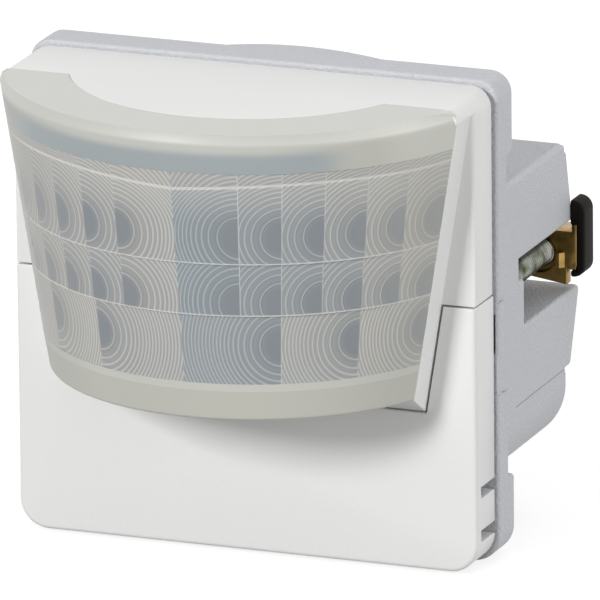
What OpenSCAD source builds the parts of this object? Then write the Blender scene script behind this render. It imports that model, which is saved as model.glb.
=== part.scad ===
// Motion sensor light switch for a wall box: two white covers with a lens head, a mounting frame
// with expanding claws, and a rear housing with the electronics.
// X is to the right, Y goes into the wall and Z is up.
// The origin is the centre of the box opening on the wall plane, where the frame rests.

/* [Face] */
// Width of the two covers together
face_w = 50; // [49:0.5:54]
// Height of the two covers together
face_h = 50; // [49:0.5:54]
// Radius of the covers' lower corners
face_foot_r = 3; // [2.5:0.1:4]
// Radius of the covers' upper corners
face_head_r = 2.2; // [2.1:0.1:3.5]
// Depth of the covers' side walls
cover_depth = 5.3; // [5:0.1:6.5]
// Wall thickness of the covers
cover_wall = 1.6; // [1.4:0.1:1.8]
// Gap between the covers and the mounting frame
cover_gap = 0.3; // [0.2:0.05:0.4]
// Gap along the seam between the two covers
seam_gap = 0.2; // [0.15:0.05:0.4]
// Height of the seam beside the head, above the face's centre
seam_z = 3.1; // [1:0.1:6]
// Height of each side slot in the lower cover
slot_h = 1.2; // [0.8:0.1:1.6]
// Length of each side slot, from the lower cover's rear edge
slot_l = 3.6; // [2.5:0.1:3.6]

/* [Sensor head] */
// Width of the head at its foot
head_foot_w = 39; // [38:0.5:40]
// Inset of the head's roof from each side of the covers
head_inset = 0.1; // [0.1:0.1:1]
// Drop of the head's foot below the face's centre
head_foot_drop = 8.2; // [7.8:0.1:8.8]
// Reach of the head's side walls in front of the face
head_depth = 3.9; // [3.5:0.1:5]
// Thickness of the head's side walls
head_wall = 1.4; // [1.2:0.1:1.6]
// Reach of the roof's round nose in front of the face
roof_reach = 15.2; // [13:0.1:16]
// Width of the roof's round nose at its root
roof_nose_w = 34; // [30:0.5:36]
// Reach of the roof's straight edges past the head's side walls
roof_step = 0.5; // [0.4:0.1:1.2]

/* [Lens] */
// Thickness of the lens
lens_wall = 1.2; // [1:0.1:1.5]
// Drop of the lens's lower edge below the face's centre
lens_drop = 6; // [5.5:0.1:6.5]
// Depth of the lens's upright axis behind the face
lens_axis_depth = 4.7; // [4:0.1:6]
// Gap between the lens and the covers
lens_gap = 0.1; // [0.05:0.05:0.15]
// Depth of the lens's rim behind the edge of the head
rim_depth = 1.5; // [1.2:0.1:1.8]

/* [Mounting frame] */
// Step of the frame past the covers on each side
frame_margin = 0.4; // [0.2:0.1:0.8]
// Thickness of the frame at its top and bottom bars
frame_t = 4.4; // [4.2:0.1:5]
// Thickness of the frame along its sides
frame_side_t = 2.5; // [2.3:0.1:3]
// Rim of the frame between its window and the claw screws' heads
frame_rim = 0.9; // [0.8:0.1:1.2]
// Height of the frame's window
frame_window_h = 38; // [37:0.5:39]

/* [Rear housing] */
// Step of the housing in from each side of the frame
housing_step = 0.2; // [0.1:0.1:0.6]
// Top of the housing's block above the centre
housing_top = 13.7; // [13.5:0.1:14.4]
// Bottom of the housing below the centre
housing_drop = 18.4; // [17.8:0.1:18.8]
// Depth of the housing behind the wall plane
housing_d = 15.4; // [15:0.1:18]
// Wall thickness of the housing
housing_wall = 1.6; // [1.4:0.1:1.8]
// Radius of the housing's lower corners
housing_foot_r = 6.4; // [5:0.1:7]
// Top of the arched crown above the centre
crown_top = 23.8; // [22:0.1:24.5]
// Radius of the crown's arch
crown_r = 60; // [45:1:90]
// Width of the crown
crown_w = 36; // [30:1:38]
// Depth of the crown behind the wall plane
crown_d = 7.5; // [5:0.1:9]
// Depth of the terminal cover at its deepest line, behind the housing
hump_d = 4.4; // [3.6:0.1:4.8]
// Radius of the wire entries
wire_r = 1.5; // [1.2:0.1:1.6]
// Spacing of the wire entries
wire_pitch = 7; // [6.6:0.1:7]

/* [Claws] */
// Radius of the claw screws
claw_screw_r = 1.5; // [1.25:0.05:1.6]
// Distance of each claw screw in from the housing's side
claw_inset = 3.6; // [3.4:0.1:3.9]
// Height of the claw screws above the centre
claw_z = 1.2; // [0.8:0.1:1.6]
// Thickness of the claws' sheet brass
claw_t = 1.2; // [1:0.1:1.4]
// Depth of the claws' front plates behind the wall plane
claw_depth = 17.2; // [15:0.1:18]
// Height of the claw pockets
pocket_h = 7.3; // [7:0.1:8]
// Width of the claw pockets, from the housing's side
pocket_w = 7.5; // [7.2:0.1:7.8]
// Running clearance of turning parts in their holes
turn_gap = 0.05; // [0.03:0.01:0.08]

/* [Controls] */
// Radius of the setting dials
dial_r = 3.3; // [3:0.1:3.6]
// Inset of the row of controls from each side of the frame's window
row_inset = 0.2; // [0.1:0.1:0.6]
// Drop of the controls' row below the centre
control_drop = 13.2; // [13:0.1:13.6]
// Travel of the mode slider to each side
slider_travel = 2; // [1.5:0.1:2.2]

/* [Boards] */
// Thickness of the circuit boards
board_t = 1.2; // [1:0.1:1.6]
// Radius of the pyroelectric sensor's can
can_r = 4.1; // [3.8:0.1:4.4]
// Length of the sensor's can
can_l = 4.2; // [3.8:0.1:4.4]
// Height of the sensor above the centre
can_z = 8; // [7:0.1:9]

/* [Hidden] */
$fn = 96;

// Cutting bodies run this far past the faces that they open
over = 0.5;
// Gap between fixed pieces that slide together when they are fitted
fit_gap = 0.15;

// Planes along Y, from the wall plane to the front
frame_front_y = -frame_t;
frame_side_y = frame_front_y + frame_side_t;
cover_rear_y = frame_front_y - cover_gap;
face_y = cover_rear_y - cover_depth;
face_in_y = face_y + cover_wall;
lens_y = face_y - head_depth;

// Heights of the head
top_z = face_h / 2;
roof_in_z = top_z - cover_wall;
foot_z = -head_foot_drop;
lens_foot_z = -lens_drop;
head_floor_z = lens_foot_z + lens_wall;
head_roof_w = face_w - 2 * head_inset;
head_slope = (head_roof_w - head_foot_w) / 2 / (top_z - foot_z);

// Half width of the head's tapered outline at height z
function head_half(z) = head_foot_w / 2 + head_slope * (z - foot_z);

// Lens cone: its edge meets the head's side walls all the way down
lens_axis_y = face_y + lens_axis_depth;
lens_foot_r = norm([head_half(lens_foot_z), lens_axis_y - lens_y]);
lens_top_r = norm([head_half(top_z), lens_axis_y - lens_y]);
lens_h = top_z - lens_foot_z;
lens_taper = (lens_top_r - lens_foot_r) / lens_h;
rim_t = 1.2;
rim_bite = 1.5;

// Roof nose: an arc through its two roots and its tip
nose_root_y = lens_y - roof_step;
nose_sag = face_y - roof_reach;
nose_rise = nose_root_y - nose_sag;
nose_r = (pow(roof_nose_w / 2, 2) + pow(nose_rise, 2)) / (2 * nose_rise);
nose_y = nose_sag + nose_r;

// Widths from the covers back through the frame to the housing and its claw screws
frame_w = face_w + 2 * frame_margin;
frame_h = face_h + 2 * frame_margin;
housing_w = frame_w - 2 * housing_step;
claw_x = housing_w / 2 - claw_inset;
claw_head_r = 2.5;
claw_head_gap = 0.2;
frame_window_w = 2 * (claw_x - claw_head_r - claw_head_gap - frame_rim);

// Frame
bar_z = housing_drop + fit_gap;
bar_top_z = 17;
pad_z = 17;
pad_w = 2.2;
lug_t = 1.2;
lug_h = 6.4;
lug_gap = 1.4;
lug_step = 0.2;
lug_x = face_w / 2 - cover_wall - fit_gap;
lug_foot_z = lug_gap - roof_in_z;
lug_front_y = face_in_y + lug_step;
slot_pitch = 4.6;
slot_top_z = lug_foot_z + slot_pitch + slot_h;
tab_w = 6;
tab_t = 1.4;
tab_x = 12;
tab_root = 2.3;
tab_depth = 2.2;
tab_gap = 0.3;

// Frame screws and their bosses in the housing
frame_screw_r = 1.1;
frame_screw_l = 8;
frame_head_r = 2;
frame_head_h = 1.3;
frame_head_sink = 0.2;
frame_boss_r = 2.3;
frame_boss_rim = 1.3;
frame_boss_x = frame_window_w / 2 + frame_head_r + claw_head_gap + frame_boss_rim;
frame_boss_z = [-12.5, 10];

// Housing
housing_top_r = 0.6;
foot_step = 0.5;
housing_floor_t = 1.4;
housing_in_y = housing_d - housing_floor_t;
pocket_z = claw_z - pocket_h / 2;
pocket_in_x = housing_w / 2 - pocket_w;
pocket_front_y = 2.3;
stop_l = 1.5;
stop_h = 5;
stop_t = 1.4;

// Boards and the posts that carry them
control_rear_y = pocket_front_y - housing_wall - fit_gap;
control_y = control_rear_y - board_t;
board_side_gap = 0.8;
board_gap = 0.5;
control_board_w = 2 * (frame_boss_x - frame_boss_r - board_side_gap);
control_board_z = [housing_wall + board_gap - housing_drop, housing_top - housing_wall - board_gap];
post_r = 1.8;
post_x = control_board_w / 2 - post_r;
post_z = [-7.2, 9.8];
board_screw_r = 0.85;
post_bore_r = board_screw_r + turn_gap;
board_screw_l = 6;
board_head_r = 1.6;
board_head_h = 1;
standoff_h = 1;
standoff_r = 1.5;
standoff_inset = 1.8;
standoff_z = [-11.4, 8.4];
power_rear_y = housing_in_y - standoff_h;
power_y = power_rear_y - board_t;
power_side_gap = 1.9;
power_board_w = 2 * (pocket_in_x - housing_wall - power_side_gap);
power_board_z = [-13.2, 10.2];
standoff_x = power_board_w / 2 - standoff_inset;
pin_w = 0.64;
pin_pitch = 2.54;

// Sensor stack behind the lens
retainer_y = lens_y + rim_depth;
retainer_t = 1.2;
retainer_w = 3;
shade_y = retainer_y + retainer_t;
shade_t = 0.8;
shade_post_l = 1;
shade_post_r = 1.5;
shade_post_x = 12;
shade_post_z = [-1.5, 17];
sensor_y = shade_y + shade_t + shade_post_l;
sensor_rear_y = sensor_y + board_t;
sensor_board_w = 30;
sensor_board_z = [-3.6, 19];
can_flange_step = 0.45;
can_flange_r = can_r + can_flange_step;
can_flange_t = 0.5;
can_wall = 0.4;
can_front_y = sensor_y - can_l;
window_w = 4.6;
window_h = 3.4;
window_lip = 0.4;
lead_r = 0.23;
lead_circle_r = 2.54;
eye_r = 1.5;
eye_l = 3;
eye_x = 8;
eye_z = 16;
sensor_pins_z = -1.6;
sensor_pins_n = 5;

// Control panel, dials and the mode switch
panel_t = 1.2;
panel_y = frame_front_y - panel_t;
panel_gap = 0.35;
panel_tab_gap = 0.55;
panel_rim = 0.5;
panel_w = 2 * (lug_x - lug_t - panel_gap);
control_z = -control_drop;
control_n = 4;
dial_pitch = (frame_window_w - 2 * row_inset) / control_n;
dial_x = [for (i = [0 : control_n - 2]) (i - (control_n - 1) / 2) * dial_pitch];
switch_x = dial_pitch * (control_n - 1) / 2;
dial_recess = 0.8;
dial_front_y = face_in_y + dial_recess;
dial_t = 2.8;
dial_gap = 0.3;
panel_top_z = control_z + dial_r + dial_gap + panel_rim;
panel_foot_z = tab_t + panel_tab_gap - roof_in_z - fit_gap;
dial_slot_w = 0.9;
dial_slot_d = 0.8;
stem_r = 1.5;
stem_end_y = -1.3;
pot_w = 6;
pot_front_y = -3;
pot_floor_y = -1.1;
switch_w = 7.6;
switch_h = 5;
slider_w = 3.2;
slider_h = 2.6;
slider_stem_w = 2.4;
slider_stem_h = 1.8;
slider_gap = 0.1;

// Parts on the power board, which stand forward from it
relay_size = [19, 8.6, 10];
relay_at = [-9.5, -0.2];
film_size = [12, 7.6, 4];
film_at = [-6, -11.2];
electrolytic_r = 3.15;
electrolytic_l = 7.7;
electrolytic_at = [[-7.4, -3.6], [0, -3.6]];
choke_r = 3.2;
choke_l = 7;
choke_at = [7.4, -3.6];
board_pins_z = -12.3;
board_pins_n = 6;
chip_w = 7;
chip_t = 1;
chip_z = 4;

// Terminals on the back of the power board
cage_w = 6;
cage_h = 5.4;
cage_wall = 0.8;
cage_step = 0.6;
cage_gap = 0.2;
cage_rear_y = housing_d + cage_step;
wire_z = pocket_z - housing_wall - fit_gap - cage_h / 2;
wire_n = 4;
wire_x = [for (i = [0 : wire_n - 1]) (i - (wire_n - 1) / 2) * wire_pitch];
cage_hole_r = wire_r + cage_gap;
spring_t = 0.4;
spring_l = 1.4;
window_gap = 0.4;
terminal_wall = 1.2;
terminal_in_y = cage_rear_y + cage_gap;
entry_y = terminal_in_y + terminal_wall;
entry_step = 0.8;
entry_r = wire_r + entry_step;

// Profile of the terminal cover behind the housing
cover_foot_z = -10.4;
cover_foot_d = 1.8;
cover_top_z = 12.7;
cover_top_d = 0.8;
hump_z = -3;
cover_screw_l = 6;

// Claws
claw_head_h = 1.3;
claw_head_sink = 0.2;
claw_head_y = frame_front_y + claw_head_sink;
claw_screw_tip = 1.4;
claw_screw_end_y = claw_depth + claw_t + claw_screw_tip;
claw_hole_r = claw_screw_r + turn_gap;
claw_gap = 0.5;
claw_side_gap = 0.1;
claw_head_drop = 1.1;
claw_in_x = pocket_in_x + claw_gap;
claw_side_x = housing_w / 2 + claw_side_gap;
claw_foot_z = pocket_z + claw_gap;
claw_head_z = pocket_z + pocket_h - claw_head_drop;
claw_lip_l = 3.6;
claw_lip_t = 0.8;
plate_inset = 0.4;
plate_side_x = housing_w / 2 - plate_inset;
neck_foot_z = claw_z - claw_screw_r;
wing_y = claw_depth;
wing_l = 3.2;
wing_t = 0.6;
wing_foot_z = -0.8;
wing_h = 7.4;
wing_corner_r = 1.4;
pad_t = 0.9;
pad_over = 0.2;

// Extrudes an outline drawn in X and Z from y0 to y1
module slab(y0, y1) {
    translate([0, y1, 0])
        rotate([90, 0, 0])
            linear_extrude(y1 - y0)
                children();
}

// Extrudes an outline drawn in Y and Z from x0 to x1
module bar(x0, x1) {
    translate([x0, 0, 0])
        rotate([90, 0, 90])
            linear_extrude(x1 - x0)
                children();
}

// Round rod along Y
module rod(x, z, y0, y1, r) {
    translate([x, y1, z])
        rotate([90, 0, 0])
            cylinder(h = y1 - y0, r = r);
}

// Box between two corners
module block(lo, hi) {
    translate(lo)
        cube(hi - lo);
}

// Rectangle from z0 to z1, centred on X, with its own radius at the lower and the upper corners
module soft_rect(w, z0, z1, foot_r, head_r) {
    translate([-w / 2, z0 + foot_r])
        square([w, z1 - z0 - foot_r - head_r]);
    translate([foot_r - w / 2, z0])
        square([w - 2 * foot_r, (z1 - z0) / 2]);
    translate([head_r - w / 2, (z0 + z1) / 2])
        square([w - 2 * head_r, (z1 - z0) / 2]);
    for (x = [-1, 1]) {
        translate([x * (w / 2 - foot_r), z0 + foot_r])
            circle(foot_r);
        translate([x * (w / 2 - head_r), z1 - head_r])
            circle(head_r);
    }
}

// Draws its children on the right and mirrored on the left
module both_sides() {
    children();
    mirror([1, 0, 0])
        children();
}

module face_outline(inset) {
    soft_rect(face_w - 2 * inset, inset - top_z, top_z - inset, face_foot_r - inset, face_head_r - inset);
}

// The head's tapered outline between two heights, drawn in at its sides
module head_outline(inset, z0, z1) {
    polygon([
        [inset - head_half(z0), z0],
        [head_half(z0) - inset, z0],
        [head_half(z1) - inset, z1],
        [inset - head_half(z1), z1]
    ]);
}

module upper_outline() {
    intersection() {
        face_outline(0);
        union() {
            translate([-face_w / 2, seam_z + seam_gap / 2])
                square([face_w, face_h]);
            head_outline(0, foot_z, top_z);
        }
    }
}

module lower_outline() {
    difference() {
        face_outline(0);
        translate([-face_w, seam_z - seam_gap / 2])
            square([2 * face_w, face_h]);
        head_outline(-seam_gap, foot_z - seam_gap, top_z);
    }
}

// The head's walls in front of the face, with its foot sloping up to the lens
module head_block() {
    difference() {
        slab(lens_y, face_in_y)
            head_outline(0, foot_z, top_z);
        bar(-face_w, face_w)
            polygon([
                [lens_y - over, lens_foot_z],
                [lens_y, lens_foot_z],
                [face_y, foot_z],
                [face_y, foot_z - over],
                [lens_y - over, foot_z - over]
            ]);
    }
}

// The roof over the lens: straight edges with a round nose between them
module roof(grow, rise) {
    translate([0, 0, roof_in_z - grow])
        linear_extrude(cover_wall + grow + rise)
            intersection() {
                translate([0, lens_axis_y])
                    circle(lens_top_r);
                union() {
                    translate([-face_w / 2, nose_root_y - grow])
                        square([face_w, face_y - nose_root_y + grow]);
                    intersection() {
                        translate([0, nose_y])
                            circle(nose_r + grow);
                        translate([-face_w, face_y - face_w])
                            square([2 * face_w, face_w]);
                    }
                }
            }
}

// The face's outline carried forward past the lens
module face_column(inset) {
    slab(nose_sag - face_w, face_in_y)
        face_outline(inset);
}

// Two straight snap tabs on a cover, at the height z of their outer faces
module snap_tabs(z, grow) {
    for (x = [-tab_x, tab_x])
        block(
            [x - tab_w / 2 - grow, cover_rear_y - tab_root, z - tab_t - grow],
            [x + tab_w / 2 + grow, cover_rear_y + tab_depth + grow, z + grow]
        );
}

module upper_cover() {
    color("whitesmoke") {
        difference() {
            union() {
                slab(face_y, cover_rear_y)
                    upper_outline();
                intersection() {
                    head_block();
                    face_column(0);
                }
            }
            slab(face_in_y, cover_rear_y + over)
                face_outline(cover_wall);
            slab(lens_y - over, face_in_y + over)
                intersection() {
                    head_outline(head_wall, head_floor_z, roof_in_z);
                    face_outline(cover_wall);
                }
        }
        intersection() {
            roof(0, 0);
            face_column(0);
        }
        snap_tabs(roof_in_z + fit_gap, 0);
    }
}

// Slots in the lower cover's sides, open at its rear edge
module side_slots() {
    for (i = [0, 1])
        translate([0, 0, slot_top_z - slot_h - i * slot_pitch])
            block(
                [face_w / 2 - cover_wall - over, cover_rear_y - slot_l, 0],
                [face_w / 2 + over, cover_rear_y + over, slot_h]
            );
}

module lower_cover() {
    color("whitesmoke") {
        difference() {
            slab(face_y, cover_rear_y)
                lower_outline();
            slab(face_in_y, cover_rear_y + over)
                face_outline(cover_wall);
            both_sides()
                side_slots();
        }
        snap_tabs(tab_t - roof_in_z - fit_gap, 0);
    }
}

// Solid cone of the lens, drawn in by a wall, between two heights
module lens_cone(inset, z0, z1) {
    translate([0, lens_axis_y, z0])
        cylinder(
            h = z1 - z0,
            r1 = lens_foot_r + lens_taper * (z0 - lens_foot_z) - inset,
            r2 = lens_foot_r + lens_taper * (z1 - lens_foot_z) - inset
        );
}

// Strips of the lens that reach into the head behind its side walls
module lens_rim() {
    intersection() {
        lens_cone(0, lens_foot_z, top_z);
        difference() {
            slab(lens_y - rim_bite, lens_y + rim_depth)
                intersection() {
                    head_outline(head_wall + lens_gap, head_floor_z + lens_gap, roof_in_z - lens_gap);
                    face_outline(cover_wall + lens_gap);
                }
            slab(lens_y - rim_bite - over, lens_y + rim_depth + over)
                head_outline(head_wall + lens_gap + rim_t, head_floor_z - over, roof_in_z + over);
        }
    }
}

module fresnel_lens() {
    color("lightgray", 0.8) {
        difference() {
            intersection() {
                lens_cone(0, lens_foot_z, top_z);
                face_column(0);
            }
            intersection() {
                lens_cone(lens_wall, head_floor_z, top_z - lens_wall);
                face_column(lens_wall);
            }
            block([-face_w, lens_y, lens_foot_z - over], [face_w, lens_y + face_w, top_z + over]);
            roof(lens_gap, over);
        }
        lens_rim();
    }
}

// Outline of the pieces that stack up inside the head
module stack_outline(inset) {
    intersection() {
        head_outline(
            head_wall + fit_gap + inset,
            head_floor_z + fit_gap + inset,
            roof_in_z - fit_gap - inset
        );
        face_outline(cover_wall + fit_gap);
    }
}

module lens_retainer() {
    color("white")
        slab(retainer_y, retainer_y + retainer_t)
            difference() {
                stack_outline(0);
                stack_outline(retainer_w);
            }
}

module sensor_shade() {
    color("dimgray") {
        difference() {
            slab(shade_y, shade_y + shade_t)
                stack_outline(0);
            rod(0, can_z, shade_y - over, shade_y + shade_t + over, can_r + dial_gap);
            for (x = [-eye_x, eye_x])
                rod(x, eye_z, shade_y - over, shade_y + shade_t + over, eye_r + dial_gap);
        }
        for (x = [-shade_post_x, shade_post_x], z = shade_post_z)
            rod(x, z, shade_y + shade_t, sensor_y, shade_post_r);
    }
}

module sensor_board() {
    color("seagreen")
        difference() {
            block(
                [-sensor_board_w / 2, sensor_y, sensor_board_z[0]],
                [sensor_board_w / 2, sensor_rear_y, sensor_board_z[1]]
            );
            for (a = [90, 210, 330])
                rod(lead_circle_r * cos(a), can_z + lead_circle_r * sin(a), sensor_y - over,
                    sensor_rear_y + over, lead_r + turn_gap);
        }
}

module sensor_can() {
    color("silver")
        difference() {
            union() {
                rod(0, can_z, can_front_y, sensor_y, can_r);
                rod(0, can_z, sensor_y - can_flange_t, sensor_y, can_flange_r);
            }
            rod(0, can_z, can_front_y + can_wall, sensor_y - can_flange_t, can_r - can_wall);
            block(
                [-window_w / 2, can_front_y - over, can_z - window_h / 2],
                [window_w / 2, can_front_y + can_wall + over, can_z + window_h / 2]
            );
        }
}

// The filter lies against the inside of the can's front
module sensor_window() {
    color("darkslategray")
        block(
            [-window_w / 2 - window_lip, can_front_y + can_wall, can_z - window_h / 2 - window_lip],
            [window_w / 2 + window_lip, can_front_y + 2 * can_wall, can_z + window_h / 2 + window_lip]
        );
}

module sensor_leads() {
    color("gold")
        for (a = [90, 210, 330])
            rod(lead_circle_r * cos(a), can_z + lead_circle_r * sin(a), sensor_y,
                sensor_rear_y + board_t, lead_r);
}

// Round-nosed component that looks out through the shade
module eye(x) {
    rod(x, eye_z, sensor_y - eye_l, sensor_y, eye_r);
    translate([x, sensor_y - eye_l, eye_z])
        sphere(eye_r);
}

module light_sensor() {
    color("lightcyan")
        eye(eye_x);
}

module status_light() {
    color("firebrick")
        eye(-eye_x);
}

// A row of square pins between two boards
module pin_row(n, z, y0, y1) {
    for (i = [0 : n - 1])
        translate([(i - (n - 1) / 2) * pin_pitch, 0, z])
            block([-pin_w / 2, y0, -pin_w / 2], [pin_w / 2, y1, pin_w / 2]);
}

module sensor_pins() {
    color("gold")
        pin_row(sensor_pins_n, sensor_pins_z, sensor_rear_y, control_y);
}

module frame_outline() {
    difference() {
        soft_rect(frame_w, -frame_h / 2, frame_h / 2, face_foot_r, face_head_r);
        square([frame_window_w, frame_window_h], center = true);
    }
}

// Rear steps that make the frame thinner beside the housing
module frame_relief() {
    slab(frame_side_y, over)
        difference() {
            translate([-face_w, -bar_z])
                square([2 * face_w, bar_z + bar_top_z]);
            for (x = [-1, 1])
                translate([x * (frame_w / 2 - pad_w / 2), -bar_z / 2 - pad_z / 2])
                    square([pad_w, bar_z - pad_z], center = true);
        }
}

module mounting_frame() {
    color("silver")
        difference() {
            union() {
                slab(frame_front_y, 0)
                    frame_outline();
                both_sides()
                    block(
                        [lug_x - lug_t, lug_front_y, lug_foot_z],
                        [lug_x, frame_front_y + over, lug_foot_z + lug_h]
                    );
            }
            frame_relief();
            snap_tabs(roof_in_z + fit_gap, tab_gap);
            snap_tabs(tab_t - roof_in_z - fit_gap, tab_gap);
            both_sides() {
                for (z = frame_boss_z) {
                    rod(frame_boss_x, z, frame_front_y - over, over, frame_screw_r + fit_gap);
                    rod(frame_boss_x, z, frame_front_y - over,
                        frame_front_y + frame_head_sink + frame_head_h, frame_head_r + claw_head_gap);
                }
                rod(claw_x, claw_z, frame_front_y - over, over, claw_screw_r + turn_gap);
                rod(claw_x, claw_z, frame_front_y - over, claw_head_y + claw_head_h,
                    claw_head_r + claw_head_gap);
            }
        }
}

// Slotted screw along Y, with its head's rear face at y
module screw(x, z, y, head_r, head_h, r, l) {
    difference() {
        rod(x, z, y - head_h, y, head_r);
        block(
            [x - head_r - over, y - head_h - over, z - dial_slot_w / 2],
            [x + head_r + over, y - head_h / 2, z + dial_slot_w / 2]
        );
    }
    rod(x, z, y - head_h / 4, y + l, r);
}

module frame_screws() {
    color("lightgray")
        for (x = [-frame_boss_x, frame_boss_x], z = frame_boss_z)
            screw(x, z, frame_front_y + frame_head_sink + frame_head_h, frame_head_r, frame_head_h,
                frame_screw_r, frame_screw_l);
}

module control_panel() {
    color("gainsboro")
        difference() {
            block(
                [-panel_w / 2, panel_y, panel_foot_z],
                [panel_w / 2, frame_front_y, panel_top_z]
            );
            for (x = dial_x)
                rod(x, control_z, panel_y - over, frame_front_y + over, dial_r + dial_gap);
            translate([switch_x, 0, control_z])
                block(
                    [-slider_w / 2 - slider_travel - dial_gap, panel_y - over, -slider_h / 2 - dial_gap],
                    [slider_w / 2 + slider_travel + dial_gap, frame_front_y + over, slider_h / 2 + dial_gap]
                );
        }
}

// Setting dial with a screwdriver slot and a stem into its potentiometer
module dial(x) {
    color("white") {
        difference() {
            rod(x, control_z, dial_front_y, dial_front_y + dial_t, dial_r);
            block(
                [x - dial_slot_w / 2, dial_front_y - over, control_z - stem_r],
                [x + dial_slot_w / 2, dial_front_y + dial_slot_d, control_z + dial_r + over]
            );
        }
        rod(x, control_z, dial_front_y + dial_t, stem_end_y, stem_r);
    }
}

module time_dial() {
    dial(dial_x[0]);
}

module light_dial() {
    dial(dial_x[1]);
}

module range_dial() {
    dial(dial_x[2]);
}

module dial_pots() {
    color("royalblue")
        for (x = dial_x)
            difference() {
                translate([x, 0, control_z])
                    block([-pot_w / 2, pot_front_y, -pot_w / 2], [pot_w / 2, control_y, pot_w / 2]);
                rod(x, control_z, pot_front_y - over, pot_floor_y, stem_r + turn_gap);
            }
}

module mode_switch() {
    color("dimgray")
        translate([switch_x, 0, control_z])
            difference() {
                block(
                    [-switch_w / 2, pot_front_y, -switch_h / 2],
                    [switch_w / 2, control_y, switch_h / 2]
                );
                block(
                    [-slider_stem_w / 2 - slider_travel - slider_gap, pot_front_y - over,
                        -slider_stem_h / 2 - slider_gap],
                    [slider_stem_w / 2 + slider_travel + slider_gap, pot_floor_y,
                        slider_stem_h / 2 + slider_gap]
                );
            }
}

module mode_slider() {
    color("white")
        translate([switch_x, 0, control_z]) {
            block(
                [-slider_w / 2, dial_front_y, -slider_h / 2],
                [slider_w / 2, pot_front_y - slider_gap, slider_h / 2]
            );
            block(
                [-slider_stem_w / 2, pot_front_y - over, -slider_stem_h / 2],
                [slider_stem_w / 2, stem_end_y, slider_stem_h / 2]
            );
        }
}

module control_board() {
    color("seagreen")
        difference() {
            block(
                [-control_board_w / 2, control_y, control_board_z[0]],
                [control_board_w / 2, control_rear_y, control_board_z[1]]
            );
            for (x = [-post_x, post_x], z = post_z)
                rod(x, z, control_y - over, control_rear_y + over, board_screw_r + fit_gap);
        }
}

module controller_chip() {
    color("black")
        translate([0, 0, chip_z])
            block(
                [-chip_w / 2, control_rear_y, -chip_w / 2],
                [chip_w / 2, control_rear_y + chip_t, chip_w / 2]
            );
}

module board_screws() {
    color("lightgray")
        for (x = [-post_x, post_x], z = post_z)
            screw(x, z, control_y, board_head_r, board_head_h, board_screw_r, board_screw_l);
}

module board_pins() {
    color("gold")
        pin_row(board_pins_n, board_pins_z, control_rear_y, power_y);
}

module power_board() {
    color("seagreen")
        block(
            [-power_board_w / 2, power_y, power_board_z[0]],
            [power_board_w / 2, power_rear_y, power_board_z[1]]
        );
}

// Box-shaped component that stands forward from the power board
module board_box(size, at) {
    block([at[0], power_y - size[1], at[1]], [at[0] + size[0], power_y, at[1] + size[2]]);
}

module relay() {
    color("orange")
        board_box(relay_size, relay_at);
}

module film_capacitor() {
    color("goldenrod")
        board_box(film_size, film_at);
}

module electrolytic_capacitors() {
    color("midnightblue")
        for (at = electrolytic_at)
            rod(at[0], at[1], power_y - electrolytic_l, power_y, electrolytic_r);
}

module choke() {
    color("saddlebrown")
        rod(choke_at[0], choke_at[1], power_y - choke_l, power_y, choke_r);
}

// Brass cages that take the wires from behind
module terminal_cages() {
    color("goldenrod")
        for (x = wire_x)
            difference() {
                translate([x, 0, wire_z])
                    block([-cage_w / 2, power_rear_y, -cage_h / 2], [cage_w / 2, cage_rear_y, cage_h / 2]);
                translate([x, 0, wire_z])
                    block(
                        [cage_wall - cage_w / 2, power_rear_y + cage_wall, cage_wall - cage_h / 2],
                        [cage_w / 2 - cage_wall, cage_rear_y - cage_wall, cage_h / 2 - cage_wall]
                    );
                rod(x, wire_z, cage_rear_y - cage_wall - over, cage_rear_y + over, cage_hole_r);
            }
}

// Flat spring on the lower wall of each cage
module terminal_springs() {
    color("lightgray")
        for (x = wire_x)
            translate([x, 0, wire_z - cage_h / 2 + cage_wall])
                block(
                    [cage_wall - cage_w / 2 + fit_gap, power_rear_y + cage_wall, 0],
                    [cage_w / 2 - cage_wall - fit_gap, power_rear_y + cage_wall + spring_l, spring_t]
                );
}

// Outline of the housing's block, drawn in by a wall
module housing_outline(inset) {
    soft_rect(
        housing_w - 2 * inset,
        inset - housing_drop,
        housing_top - inset,
        housing_foot_r - inset,
        max(housing_top_r - inset, fit_gap)
    );
}

// Arched crown above the block, drawn in by a wall
module crown_outline(inset) {
    intersection() {
        translate([0, crown_top - crown_r])
            circle(crown_r - inset);
        translate([inset - crown_w / 2, housing_top - housing_wall + inset])
            square([crown_w - 2 * inset, crown_top]);
    }
}

// Outline of the right claw pocket, grown by the wall round it
module pocket_outline(grow) {
    translate([pocket_in_x - grow, pocket_z - grow])
        square([pocket_w + grow + face_w, pocket_h + 2 * grow]);
}

module housing_cavity() {
    difference() {
        slab(frame_side_y - over, housing_in_y)
            housing_outline(housing_wall);
        both_sides()
            slab(pocket_front_y - housing_wall, housing_in_y + over)
                pocket_outline(housing_wall);
    }
}

// Posts inside the housing for the frame, the control board and the power board
module housing_posts() {
    for (x = [-frame_boss_x, frame_boss_x], z = frame_boss_z)
        rod(x, z, frame_side_y, housing_in_y, frame_boss_r);
    for (x = [-post_x, post_x], z = post_z)
        rod(x, z, control_rear_y, housing_in_y, post_r);
    for (x = [-standoff_x, standoff_x], z = standoff_z)
        rod(x, z, power_rear_y, housing_in_y, standoff_r);
}

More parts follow.
